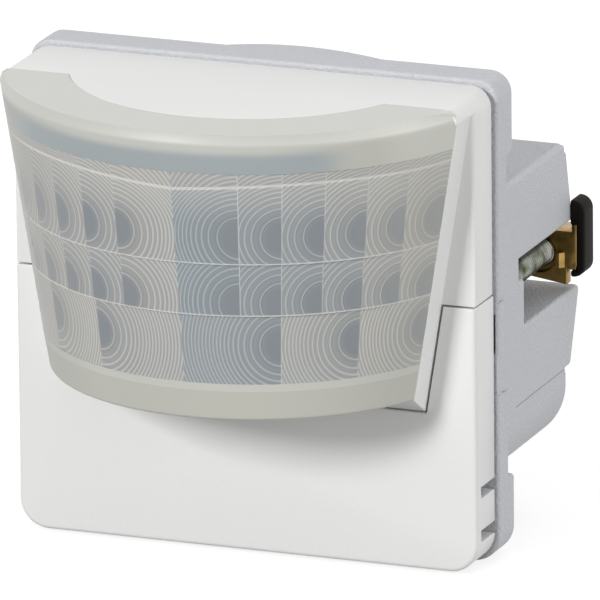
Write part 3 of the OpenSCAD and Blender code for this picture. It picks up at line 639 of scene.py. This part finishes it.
def lens_skin(colours):
    """Milky polyethylene, moulded smooth: a soft gloss, with painted shade on the foot, walls and left end
    and where the dark inside shows through, and painted light at the right end.
    """
    finish, tree, spot = new_finish("polyethylene_plain")
    x, _, z = add_node(tree, "SeparateXYZ", {0: spot}).outputs
    # Colours laid each over the last, with the fades that make up their share: along an axis, from and to
    # in millimetres, and the share at both
    over = ("FADE", z, 9.0, 10.0, 0.0, 1.0)
    wall = ("FADE", z, LENS_TOP_Z - 0.03, LENS_TOP_Z - 0.01, 1.0, 0.0)
    layers = (
        # Painted shade on the foot, and on the wall over the rows and its right end
        (colours.lens_shaded, ("FADE", z, -2.75, -2.85, 0.5, 1.0), ("FADE", z, 9.0, 10.0, 1.0, 0.0)),
        (colours.lens_shaded, wall, ("FADE", z, 9.0, 10.0, 0.0, 0.55)),
        (colours.lens_shaded, ("FADE", x, 9.0, 15.0, 0.0, 0.9), ("FADE", z, 23.8, 23.3, 0.0, 1.0), over),
        # Painted shade makes the left end darker, and painted light makes the right end paler, as if lit
        # through
        (colours.painted_shade, ("FADE", x, -8.0, -22.0, 0.0, 0.6), ("FADE", z, 24.0, 23.0, 0.0, 1.0)),
        (colours.lens_pale, ("FADE", x, 18.5, 23.0, 0.0, 0.5), over, wall),
        # Painted shade: the dark inside showing through, in a band over the rows
        (colours.lens_see_through_shade, ("FADE", z, 23.5, 22.4, 0.1, 1.0), ("FADE", x, 14.0, 18.5, 1.0, 0.0),
         ("FADE", x, -23.0, -16.0, 0.05, 1.0), over, wall),
    )
    tone = rgba(colours.lens_plain)
    for colour, *fades in layers:
        tone = grow(tree, ("BLEND", ("MULTIPLY", *fades), tone, rgba(colour)))
    # A gloss that varies in clouds about 4 mm across
    cloud = add_node(tree, "TexNoise", {"Vector": spot, "Scale": 1 / 4, "Detail": 2.0}).outputs[0]
    gloss = grow(tree, ("RAMP", cloud, 0.0, 1.0, 0.4, 0.48))
    return end_finish(finish, {"Base Color": tone, "Roughness": gloss, "IOR": 1.52,
                               "Specular IOR Level": 0.4})


def lens_rings(colours, sizes):
    """The same polyethylene moulded in rings, with painted highlights on their crests and edges, and painted
    shade where the dark inside shows through their middles.
    """
    finish, tree, spot = new_finish("polyethylene_ringed")
    optic = add_node(tree, "UVMap", uv_map="optic").outputs[0]
    across, up, _ = add_node(tree, "SeparateXYZ", {0: optic}).outputs
    x, _, z = add_node(tree, "SeparateXYZ", {0: spot}).outputs
    radius = add_node(tree, "VectorMath", {0: optic}, operation="LENGTH").outputs["Value"]
    clear = add_node(tree, "Attribute", attribute_name="clear").outputs["Fac"]
    # Rings of equal area, then of equal width, and the distance to the nearest crest in millimetres
    zone, pitch = sizes.zone / MM, sizes.pitch / MM
    turn, shift = ring_turn(zone, pitch)
    inner = ("DIVIDE", ("MULTIPLY", radius, radius), zone * zone)
    outer = ("SUBTRACT", ("MULTIPLY", radius, 1 / pitch), shift)
    phase = ("FRACT", ("PICK", ("GREATER_THAN", radius, turn), inner, outer))
    width = ("MAXIMUM", ("DIVIDE", zone * zone / 2, radius), pitch)
    near = grow(tree, ("MULTIPLY", ("SUBTRACT", 0.5, ("ABSOLUTE", ("SUBTRACT", phase, 0.5))), width))
    # Crests and the grooves beside them, all outside the clear middle
    beyond = grow(tree, ("GREATER_THAN", radius, zone * 0.9))
    crest = grow(tree, ("MULTIPLY", ("RAMP", near, 0.02, 0.1, 1.0, 0.0), beyond))
    groove = grow(tree, ("MULTIPLY", ("RAMP", near, 0.1, 0.18, 0.0, 1.0),
                         ("RAMP", near, 0.25, 0.5, 1.0, 0.0), beyond))
    # The pattern softens towards the sides, and the painted shade of the inside shows through most clearly
    # low in each row
    side = grow(tree, ("MINIMUM", ("RAMP", x, 18.0, 24.0, 1.0, 0.8), ("RAMP", x, -22.5, -17.5, 0.0, 1.0)))
    seen = grow(tree, ("MULTIPLY", clear, ("RAMP", z, 15.5, 20.0, 1.0, 0.3)))
    # Painted highlights along the edges: between neighbours, under each row and along the crease
    upper, middle = ROWS["lens_row_upper"], ROWS["lens_row_middle"]
    crease = ("COMPARE", up, upper["crease"] - upper["centre"], CREASE_EDGE_HALF)
    edges = (
        ("MULTIPLY", ("RAMP", ("ABSOLUTE", across), 0.05, 0.13, 1.0, 0.0), clear),
        ("COMPARE", z, upper["low"] + EDGE_HALF, EDGE_HALF),
        ("COMPARE", z, middle["low"] + EDGE_HALF, EDGE_HALF),
        ("MULTIPLY", crease, ("GREATER_THAN", z, 17.0)),
    )
    # Colours laid each over the last, with their share
    # Painted shade for the groove walls and the left end, and for the inside seen through the middles
    dark, core = rgba(colours.painted_shade), rgba(colours.core_see_through_shade)
    # Painted highlights for the crests, bluer where the inside shows through
    light = ("BLEND", seen, rgba(colours.crest_highlight), rgba(colours.see_through_crest_highlight))
    layers = (
        # Painted shade of the inside, seen through each clear middle
        (core, ("MULTIPLY", ("RAMP", radius, zone * 0.7, zone * 1.7, 0.92, 0.0), side)),
        # Painted shade in the grooves, deeper where the inside shows through
        (("BLEND", seen, dark, core), ("MULTIPLY", groove, side, 0.55)),
        # Painted highlights on the crests
        (light, ("MULTIPLY", crest, side, 0.62)),
        # Painted shade at the left end
        (dark, ("RAMP", x, -10.0, -19.0, 0.0, 0.5)),
        # Painted light: the rings' right end washed paler, towards the shaded milky tone
        (rgba(colours.lens_shaded), ("RAMP", x, 16.0, 22.0, 0.0, 0.3)),
        # Painted highlights along the edges
        (rgba(colours.edge_highlight), ("MULTIPLY", ("MAXIMUM", *edges), side, 0.7)),
    )
    # Between the rings: the milky tone at the sides, painted shade where the inside shows through
    tone = grow(tree, ("BLEND", seen, rgba(colours.ring_valley), rgba(colours.groove_see_through_shade)))
    for colour, share in layers:
        tone = grow(tree, ("BLEND", share, tone, colour))
    gloss = grow(tree, ("RAMP", crest, 0.0, 1.0, 0.4, 0.28))
    return end_finish(finish, {"Base Color": tone, "Roughness": gloss, "IOR": 1.52})


class SWITCH_OT_covers(bpy.types.Operator):
    """Round the upper and lower covers"""

    bl_idname = "sensor_switch.covers"
    bl_label = "Covers"

    def execute(self, context):
        scene = context.scene
        finish = moulded("white_thermoplastic", scene.switch_finishes.cover)
        for node, body, share in (("upper_cover", "switch_base", upper_cover_edges),
                                  ("lower_cover", "lower_cover", lower_cover_edges)):
            piece = plain_copy(node, node + "_moulding")
            round_edges(piece, scene.switch_edges.cover, share)
            place(piece, body, "cover_white", finish, node)
        return {"FINISHED"}


class SWITCH_OT_lens_shell(bpy.types.Operator):
    """Turn the plain shell of the lens and cut it to the head"""

    bl_idname = "sensor_switch.lens_shell"
    bl_label = "Lens shell"

    def execute(self, context):
        sizes = context.scene.switch_lens
        outline = self.outline(sizes.top_round / MM, sizes.foot_round / MM)
        piece = spun("lens_shell", outline, 360, centre=(0, LENS_AXIS_Y * MM, 0))
        cut(piece, self.column(), "INTERSECT")
        cut(piece, self.nose())
        roof, step = ROOF_UNDER_Z - LENS_GAP, NOSE_ROOT_Y - LENS_GAP
        cut(piece, block("nose_root", (-ROOT_HALF, step, roof),
                         (ROOT_HALF, LENS_REAR_Y + 1, LENS_TOP_Z + 1)))
        smooth(piece)
        place(piece, "switch_base", "lens_milky", lens_skin(context.scene.switch_finishes), "fresnel_lens")
        return {"FINISHED"}

    def outline(self, top, foot):
        """The wall's section, drawn from its foot up the outside and down the inside."""
        inside = LENS_INSIDE_R
        points = [(inside, LENS_FOOT_Z)]
        for i in range(7):
            a = math.radians(15 * i)
            points.append((cone_r(LENS_FOOT_Z) - foot * (1 - math.sin(a)),
                           LENS_FOOT_Z + foot * (1 - math.cos(a))))
        low, high = ROWS["lens_row_lower"]["low"], ROWS["lens_row_upper"]["high"]
        points += [(cone_r(low), low), (cone_r(low) - ROW_FLOOR_DEPTH, low),
                   (cone_r(high) - ROW_FLOOR_DEPTH, high), (cone_r(high), high)]
        # A soft ledge, and a rim that meets the flat top in a crisp edge
        for i in range(9):
            a = LEDGE_END * i / 8
            z = LEDGE_Z + top * math.sin(a)
            points.append((cone_r(z) - top * (1 - math.cos(a)), z))
        points.append((cone_r(LENS_TOP_Z) - RIM_INSET, LENS_TOP_Z))
        under = LENS_TOP_Z - LENS_WALL
        floor = LENS_FOOT_Z + LENS_WALL
        points += [(inside, LENS_TOP_Z), (inside, under), (cone_r(under) - LENS_WALL, under),
                   (cone_r(floor) - LENS_WALL, floor), (inside, floor), (inside, LENS_FOOT_Z)]
        return [on_lens(r, z, 0) for r, z in points]

    def column(self):
        """The face's outline in front of the head, with its upper corners rounded."""
        column = block("column", (-FACE_HALF, LENS_REAR_Y - 40, -FACE_HALF),
                       (FACE_HALF, LENS_REAR_Y, FACE_HALF))
        bevel_where(column, LENS_CORNER_R * MM, 14, lambda mid, run: mid.z > 20 and abs(run.y) > 1)
        return column

    def nose(self):
        """The roof's round nose, a gap larger."""
        low, high = ROOF_UNDER_Z - LENS_GAP, LENS_TOP_Z + 1
        bpy.ops.mesh.primitive_cylinder_add(
            vertices=240, radius=(NOSE_R + LENS_GAP) * MM, depth=(high - low) * MM,
            location=Vector((0, NOSE_Y, (low + high) / 2)) * MM)
        return bpy.context.object


class SWITCH_OT_lens_rows(bpy.types.Operator):
    """Mould the rows of ringed small lenses"""

    bl_idname = "sensor_switch.lens_rows"
    bl_label = "Lens rows"

    def execute(self, context):
        sizes = context.scene.switch_lens
        finish = lens_rings(context.scene.switch_finishes, sizes)
        plate = spun("ring_plate", self.profile(sizes), sizes.steps)
        edit_all(plate)
        if sum(p.normal.z for p in plate.data.polygons) < 0:
            bpy.ops.mesh.flip_normals()
        leave_edit()
        for name, row in ROWS.items():
            edges = row["edges"]
            fields = [(-b, -a) for a, b in zip(edges, edges[1:])][::-1] + list(zip(edges, edges[1:]))
            made = [self.small_lens(plate, row, left, right, clear, sizes)
                    for (left, right), clear in zip(fields, row["clear"])]
            piece = joined(*made)
            piece.name = name
            edit_all(piece)
            self.slice((0, LENS_REAR_Y * MM, 0), (0, 1, 0))
            leave_edit()
            smooth(piece, 25)
            place(piece, "switch_base", "lens_milky", finish)
        bpy.data.objects.remove(plate)
        return {"FINISHED"}

    def profile(self, sizes):
        """Section of the rings from the optical centre out: crests with grooves between them."""
        zone, pitch, land, depth = (s / MM for s in (sizes.zone, sizes.pitch, sizes.land, sizes.depth))
        turn, shift = ring_turn(zone, pitch)
        points = [(0.0, -0.2 * depth), (zone * 0.5, -0.4 * depth)]
        for n in range(1, 35):
            r = zone * math.sqrt(n)
            r = r if r < turn else pitch * (n + shift)
            points += [(r - 1.6 * land, -depth), (r - land, 0.0), (r + land, 0.0)]
        return [Vector((r, 0, h)) * MM for r, h in points]

    def slice(self, spot, way, drop=True):
        """Slice the piece in edit mode, and drop what lies beyond."""
        bpy.ops.mesh.select_all(action="SELECT")
        bpy.ops.mesh.bisect(plane_co=spot, plane_no=way, threshold=EXACT, clear_outer=drop)

    def small_lens(self, plate, row, left, right, clear, sizes):
        """One small lens: the ring plate cut to its field, skirted and laid on its row."""
        mid = row["centre"]
        arc = math.radians(row_r(row, mid, 0))
        centre = left if right <= 0 else right
        ends = [math.copysign(FIELD_END, a) if abs(a) == row["edges"][-1] else a for a in (left, right)]
        piece = copied(plate.data, "small_lens")
        edit_all(piece)
        u0, u1 = ((a - centre) * arc * MM for a in ends)
        v0, v1 = ((z - mid) * MM for z in (row["low"], row["high"]))
        for spot, way in (((u0, 0, 0), (-1, 0, 0)), ((u1, 0, 0), (1, 0, 0)), ((0, v0, 0), (0, -1, 0)),
                          ((0, v1, 0), (0, 1, 0))):
            self.slice(spot, way)
        if "crease" in row:
            self.slice((0, (row["crease"] - mid) * MM, 0), (0, 1, 0), drop=False)
        bpy.ops.mesh.select_all(action="DESELECT")
        bpy.ops.mesh.select_non_manifold()
        bpy.ops.mesh.extrude_edges_move(TRANSFORM_OT_translate={"value": (0, 0, -sizes.skirt)})
        leave_edit()
        optic = piece.data.uv_layers.new(name="optic")
        for loop in piece.data.loops:
            co = piece.data.vertices[loop.vertex_index].co
            optic.data[loop.index].uv = (co.x / MM, co.y / MM)
        shown = piece.data.attributes.new("clear", "FLOAT", "FACE")
        shown.data.foreach_set("value", [clear] * len(piece.data.polygons))
        for v in piece.data.vertices:
            u, up, h = (c / MM for c in v.co)
            angle = centre + u / arc
            z = mid + up
            turned = angle + max(FIELD_TURN_END - angle, 0) * FIELD_TURN
            v.co = on_lens(row_r(row, z, angle) + h, z + crease_dip(row, z, angle), turned)
        return piece


class SWITCH_OT_frame(bpy.types.Operator):
    """Round the frame, the rear housing and its terminal cover, and cut the recesses in their sides"""

    bl_idname = "sensor_switch.frame"
    bl_label = "Frame and housing"

    def execute(self, context):
        scene = context.scene
        finish = moulded("grey_thermoplastic", scene.switch_finishes.frame, grain=0.3, relief=0.15,
                         roughness=0.5)
        edges = scene.switch_edges
        for node, radius, share in (("mounting_frame", edges.frame, frame_edges),
                                    ("rear_housing", edges.housing, housing_edges),
                                    ("terminal_cover", edges.housing, terminal_cover_edges)):
            piece = plain_copy(node, node + "_moulding")
            round_edges(piece, radius, share)
            for low, high in RECESSES.get(node, ()):
                for sign in SIDES.values():
                    cut(piece, side_block("recess", low, high, sign))
            smooth(piece)
            modify(piece, "WEIGHTED_NORMAL", keep_sharp=True)
            place(piece, "switch_base", "frame_grey", finish, node)
        return {"FINISHED"}


class SWITCH_OT_claws(bpy.types.Operator):
    """Round the claws, fold their tabs and cap their wings with rubber"""

    bl_idname = "sensor_switch.claws"
    bl_label = "Claws"

    def execute(self, context):
        sizes = context.scene.switch_edges
        colours = context.scene.switch_finishes
        brass = metal("brass_sheet", colours.brass, [c * 0.5 for c in colours.brass], 0.3, (1, 1, 0.2))
        rubber = moulded("black_rubber", colours.rubber, drift=0.4, grain=0.25, relief=0.03, roughness=0.6,
                         sheen=0.12)
        for side, sign in SIDES.items():
            node = side + "_claw"
            claw = plain_copy(node, node + "_plate")
            cut(claw, self.wedge(sign))
            cut(claw, self.seat(sign))
            round_edges(claw, sizes.claw, outer_edges, 3)
            joined(self.tab(sign), self.bush(sign), claw)
            place(claw, node, "claw_brass", brass, node)
            place(self.cap(node + "_rubber", sign, sizes), node, "pad_rubber", rubber, node + "_pad")
        return {"FINISHED"}

    def wedge(self, sign):
        """A slanting block that shears the claw's foot."""
        tool = block("wedge", *CLAW_SHEAR)
        slant = Matrix.Rotation(CLAW_SHEAR_TURN, 4, "Y")
        tool.data.transform(Matrix.Translation(Vector(CLAW_SHEAR_AT) * MM) @ slant)
        if sign < 0:
            tool.data.transform(Matrix.Scale(-1, 4, (1, 0, 0)))
            tool.data.flip_normals()
        return tool

    def seat(self, sign):
        """The recess round the screw."""
        bpy.ops.mesh.primitive_cylinder_add(
            vertices=64, radius=SEAT_R * MM, depth=SEAT_DEPTH * MM, rotation=(math.pi / 2, 0, 0),
            location=Vector((sign * SCREW_X, SEAT_Y, SCREW_Z)) * MM)
        return bpy.context.object

    def tab(self, sign):
        """The tab that is folded out beside the screw."""
        tab = side_block("tab", *CLAW_TAB, sign)
        bevel_where(tab, TAB_FOLD * MM, 1,
                    lambda mid, run: abs(run.z) > 1 and mid.y < 17 and abs(mid.x) > 24)
        return tab

    def bush(self, sign):
        """The close end of the hole, round the screw's crests."""
        (near, far), (front, back) = BUSH_R, BUSH_Y
        outline = [(near, front), (far, front), (far, back), (near, back), (near, front)]
        axis = Vector((sign * SCREW_X, 0, SCREW_Z)) * MM
        points = [axis + Vector((r, y, 0)) * MM for r, y in outline]
        return spun("bush", points, 64, centre=axis, axis=(0, 1, 0))

    def cap(self, name, sign, sizes):
        """A rubber cap over the wing, open where the claw's neck joins it."""
        cap = side_block(name, *CAP, sign)
        bevel_where(cap, sizes.cap_corner, 10, lambda mid, run: abs(run.y) > 1 and abs(mid.x) > 26)
        cut(cap, side_block("opening", *CAP_OPENING, sign))
        round_edges(cap, sizes.pad, outer_edges)
        return cap


class SWITCH_OT_claw_screws(bpy.types.Operator):
    """Turn the claw screws: slotted heads on cut threads"""

    bl_idname = "sensor_switch.claw_screws"
    bl_label = "Claw screws"

    def execute(self, context):
        sizes = context.scene.switch_screws
        colours = context.scene.switch_finishes
        zinc = metal("passivated_zinc", colours.zinc, colours.zinc_tint, 0.24, mark=0.5)
        screw = self.screw(sizes)
        for side, sign in SIDES.items():
            piece = copied(screw.data, side + "_claw_screw_thread")
            piece.data.transform(Matrix.Translation(Vector((sign * SCREW_X, 0, SCREW_Z)) * MM))
            place(piece, side + "_claw_screw", "screw_zinc", zinc, side + "_claw_screw")
        bpy.data.objects.remove(screw)
        return {"FINISHED"}

    def screw(self, sizes):
        """One screw along Y: a turned blank, a slot in its head and a thread wound on its shank."""
        head, root, crest, edge = sizes.head, sizes.root, sizes.crest, SCREW_EDGE * MM
        front, seat, end = (y * MM for y in (*SCREW_HEAD_Y, SCREW_END_Y))
        outline = [(0, front), (head - edge, front), (head - edge / 3, front + edge / 3),
                   (head, front + edge), (head, seat), (root, seat), (root, end - 2 * edge),
                   (root - edge, end), (0, end)]
        screw = spun("screw", [Vector((r, y, 0)) for r, y in outline], 48, axis=(0, 1, 0))
        floor, half = SCREW_HEAD_Y[0] + SLOT_DEPTH, sizes.slot / MM / 2
        cut(screw, block("slot", (-3, SCREW_HEAD_Y[0] - 1, -half), (3, floor, half)))
        pitch = sizes.thread
        start, turns = seat + pitch, int((end - seat) / pitch) - 3
        # The ridge's section, along the pitch
        ridge = [(root, 0), (root, 0.12), (crest, 0.44), (crest, 0.56), (root, 0.88), (root, 1)]
        thread = traced_wire("thread", [Vector((r, start + y * pitch, 0)) for r, y in ridge])
        leave_edit()
        modify(thread, "SCREW", axis="Y", angle=math.tau, screw_offset=pitch, iterations=turns, steps=28,
               render_steps=28, use_merge_vertices=True, merge_threshold=EXACT)
        # The thread runs out at both ends, to just under the shank's surface
        for v in thread.data.vertices:
            out = min(v.co.y - start, start + turns * pitch - v.co.y) / pitch
            r = math.hypot(v.co.x, v.co.z)
            if out < 1:
                fit = (root + (r - root) * max(out, 0) - 0.02 * MM) / r
                v.co = (v.co.x * fit, v.co.y, v.co.z * fit)
        edit_all(joined(thread, screw))
        bpy.ops.mesh.normals_make_consistent(inside=False)
        leave_edit()
        smooth(screw, 35)
        return screw


class SWITCH_OT_controls(bpy.types.Operator):
    """Round the panel under the lower cover, its dials and slider, and raise its scale marks"""

    bl_idname = "sensor_switch.controls"
    bl_label = "Controls"

    def execute(self, context):
        sizes = context.scene.switch_edges
        colours = context.scene.switch_finishes
        panel = moulded("panel_thermoplastic", colours.panel, roughness=0.5)
        dial = moulded("dial_thermoplastic", colours.dial, roughness=0.3)
        dark = moulded("slider_thermoplastic", colours.switch, drift=0.15, roughness=0.4)
        ink = moulded("mark_ink", colours.ink, drift=0.2, grain=0.1, roughness=0.6)
        rows = [("control_panel", "_moulding", "switch_base", "panel_grey", panel)]
        rows += [(node, "_knob", node, "dial_white", dial) for node in DIALS_X]
        rows.append(("mode_slider", "_knob", "mode_slider", "switch_dark", dark))
        for node, ending, body, slot, finish in rows:
            piece = plain_copy(node, node + ending)
            round_edges(piece, sizes.small, outer_edges, 3)
            place(piece, body, slot, finish, node)
        marks = [self.mark(x, turn, *DIAL_BAR) for x in DIALS_X.values() for turn in DIAL_TURNS]
        marks += [self.mark(SLIDER_X + x, 180, *SLIDER_BAR) for x in SLIDER_STOPS]
        piece = joined(*marks)
        piece.name = "panel_marks"
        place(piece, "switch_base", "switch_dark", ink)
        return {"FINISHED"}

    def mark(self, x, turn, start, end):
        """A raised bar on the panel, turned round a dial's axis."""
        half, height = BAR_HALF
        bar = block("mark", (-half, PANEL_Y - height, start), (half, PANEL_Y + height, end))
        bevel_where(bar, BAR_EDGE * MM, 1, lambda mid, run: mid.y < PANEL_Y)
        axis = Matrix.Translation(Vector((x, 0, CONTROL_Z)) * MM)
        bar.data.transform(axis @ Matrix.Rotation(math.radians(turn), 4, "Y"))
        return bar


class SWITCH_OT_inside(bpy.types.Operator):
    """Finish the CAD nodes that show as they are"""

    bl_idname = "sensor_switch.inside"
    bl_label = "Inside"

    def execute(self, context):
        c = context.scene.switch_finishes
        zinc = metal("zinc_plated_steel", c.zinc, [v * 0.6 for v in c.zinc], 0.35)
        steel = metal("drawn_steel", c.steel, [v * 0.7 for v in c.steel], 0.3)
        gold = metal("gilt_wire", c.gold, [v * 0.7 for v in c.gold], 0.25)
        board = laminate("board_laminate", c.board)
        dark = moulded("dark_thermoplastic", c.switch, drift=0.15, roughness=0.5)
        finishes = {
            "lens_retainer": moulded("inner_thermoplastic", c.inner, roughness=0.5),
            "sensor_shade": moulded("shade_thermoplastic", c.shade, drift=0.15, roughness=0.6),
            "sensor_board": board, "control_board": board, "power_board": board,
            "sensor_can": steel, "terminal_springs": steel,
            "sensor_window": moulded("coated_filter", c.filter, drift=0.3, relief=0.002, roughness=0.1),
            "sensor_leads": gold, "sensor_pins": gold, "board_pins": gold,
            "light_sensor": moulded("clear_epoxy", c.clear, roughness=0.1),
            "status_light": moulded("red_epoxy", c.red, roughness=0.1),
            "frame_screws": zinc, "board_screws": zinc, "cover_screws": zinc, "terminal_cages": zinc,
            "dial_pots": moulded("pot_case", c.pot, drift=0.1, roughness=0.35),
            "mode_switch": dark,
            "controller_chip": moulded("chip_epoxy", c.chip, drift=0.3, grain=0.15, roughness=0.6),
            "relay": moulded("relay_case", c.relay, drift=0.1, roughness=0.25),
            "film_capacitor": moulded("film_case", c.film, drift=0.1, roughness=0.25),
            "electrolytic_capacitors": moulded("can_sleeve", c.sleeve, drift=0.1, relief=0.004,
                                               roughness=0.25),
            "choke": moulded("sintered_ferrite", c.ferrite, drift=0.3, grain=0.2, relief=0.03,
                             roughness=0.75),
        }
        for node, obj in frame["nodes"].items():
            obj.data.materials.clear()
            obj.data.materials.append(finishes.get(node, dark))
        return {"FINISHED"}


class SWITCH_OT_stage(bpy.types.Operator):
    """Set the floor, the lamps and the camera"""

    bl_idname = "sensor_switch.stage"
    bl_label = "Stage"

    def execute(self, context):
        sizes = context.scene.switch_stage
        self.floor()
        for name, (spot, width) in LAMPS.items():
            self.lamp(name + "_lamp", getattr(sizes, name), spot, width)
        self.world(context.scene, sizes.ambient)
        self.camera(context.scene, sizes)
        context.scene.view_settings.view_transform = "Standard"
        return {"FINISHED"}

    def seen(self, tree):
        """Where the background is looked at, straight or in gloss or glass."""
        path = add_node(tree, "LightPath").outputs
        rays = ("Is Camera Ray", "Is Glossy Ray", "Is Transmission Ray")
        return grow(tree, ("MAXIMUM", *(path[ray] for ray in rays)))

    def floor(self):
        """A pale grey floor that the camera sees as white, with the object's shadow on it."""
        bpy.ops.object.select_all(action="DESELECT")
        bpy.ops.mesh.primitive_plane_add(size=6, location=(0, 0, CAD_BOX[0][2]))
        floor = bpy.context.object
        floor.name = "floor"
        finish = bpy.data.materials.new("white_floor")
        tree = clear_nodes(finish)
        end_finish(finish, {
            "Base Color": rgba(linear(FLOOR_TONE)), "Roughness": 0.9, "Specular IOR Level": 0.0,
            "Emission Color": (1, 1, 1, 1),
            "Emission Strength": grow(tree, ("MULTIPLY", self.seen(tree), FLOOR_GLOW))})
        floor.data.materials.append(finish)

    def lamp(self, name, power, spot, width):
        """A soft square lamp turned to the object."""
        bpy.ops.object.light_add(type="AREA", location=spot)
        lamp = bpy.context.object
        lamp.name = name
        lamp.data.energy = power
        lamp.data.size = width
        lamp.rotation_euler = (-Vector(spot)).to_track_quat("-Z", "Y").to_euler()

    def world(self, scene, strength):
        """Even light from all round, seen as white."""
        scene.world = bpy.data.worlds.new("studio")
        tree = clear_nodes(scene.world)
        level = grow(tree, ("PICK", self.seen(tree), strength, 1.0))
        ground = add_node(tree, "Background", {"Color": (1, 1, 1, 1), "Strength": level})
        add_node(tree, "OutputWorld", {"Surface": ground.outputs[0]})

    def camera(self, scene, sizes):
        """The photograph's camera, turned to put its frame's middle in the middle."""
        ca, sa = math.cos(sizes.azimuth), math.sin(sizes.azimuth)
        ce, se = math.cos(sizes.elevation), math.sin(sizes.elevation)
        right, up = Vector((ca, sa, 0)), Vector((-sa * se, ca * se, ce))
        back = Vector((sa * ce, -ca * ce, se))
        spot = CAMERA_PIVOT + back * sizes.distance
        aim = CAMERA_PIVOT + (right * CAMERA_AIM[0] + up * CAMERA_AIM[1]) * MM
        z = (spot - aim).normalized()
        x = right * math.cos(CAMERA_ROLL) - up * math.sin(CAMERA_ROLL)
        x = (x - z * x.dot(z)).normalized()
        y = z.cross(x)
        bpy.ops.object.camera_add()
        camera = bpy.context.object
        camera.name = "camera"
        camera.data.lens = sizes.focal
        camera.data.sensor_width = 36
        camera.data.clip_start, camera.data.clip_end = 0.05, 20
        camera.matrix_world = Matrix((x, y, z)).transposed().to_4x4()
        camera.location = spot
        scene.camera = camera


class SWITCH_PT_panel(bpy.types.Panel):
    """The switch's pieces, in the order they are made"""

    bl_idname = "SWITCH_PT_panel"
    bl_label = "Sensor switch"
    bl_space_type = "VIEW_3D"
    bl_region_type = "UI"
    bl_category = "Sensor switch"

    def draw(self, context):
        for step in STEPS:
            self.layout.operator(step.bl_idname)


GROUPS = {"switch_edges": EdgeSizes, "switch_lens": LensSizes, "switch_screws": ScrewSizes,
          "switch_finishes": Finishes, "switch_stage": StageSizes}
STEPS = (SWITCH_OT_inside, SWITCH_OT_covers, SWITCH_OT_lens_shell, SWITCH_OT_lens_rows, SWITCH_OT_controls,
         SWITCH_OT_frame, SWITCH_OT_claws, SWITCH_OT_claw_screws, SWITCH_OT_stage)


def register():
    for cls in (*GROUPS.values(), *STEPS, SWITCH_PT_panel):
        bpy.utils.register_class(cls)
    for name, cls in GROUPS.items():
        setattr(bpy.types.Scene, name, PointerProperty(type=cls))


def unregister():
    for name in GROUPS:
        delattr(bpy.types.Scene, name)
    for cls in reversed((*GROUPS.values(), *STEPS, SWITCH_PT_panel)):
        bpy.utils.unregister_class(cls)


def main():
    register()
    for step in STEPS:
        group, name = step.bl_idname.split(".")
        getattr(getattr(bpy.ops, group), name)()


if __name__ == "__main__":
    main()
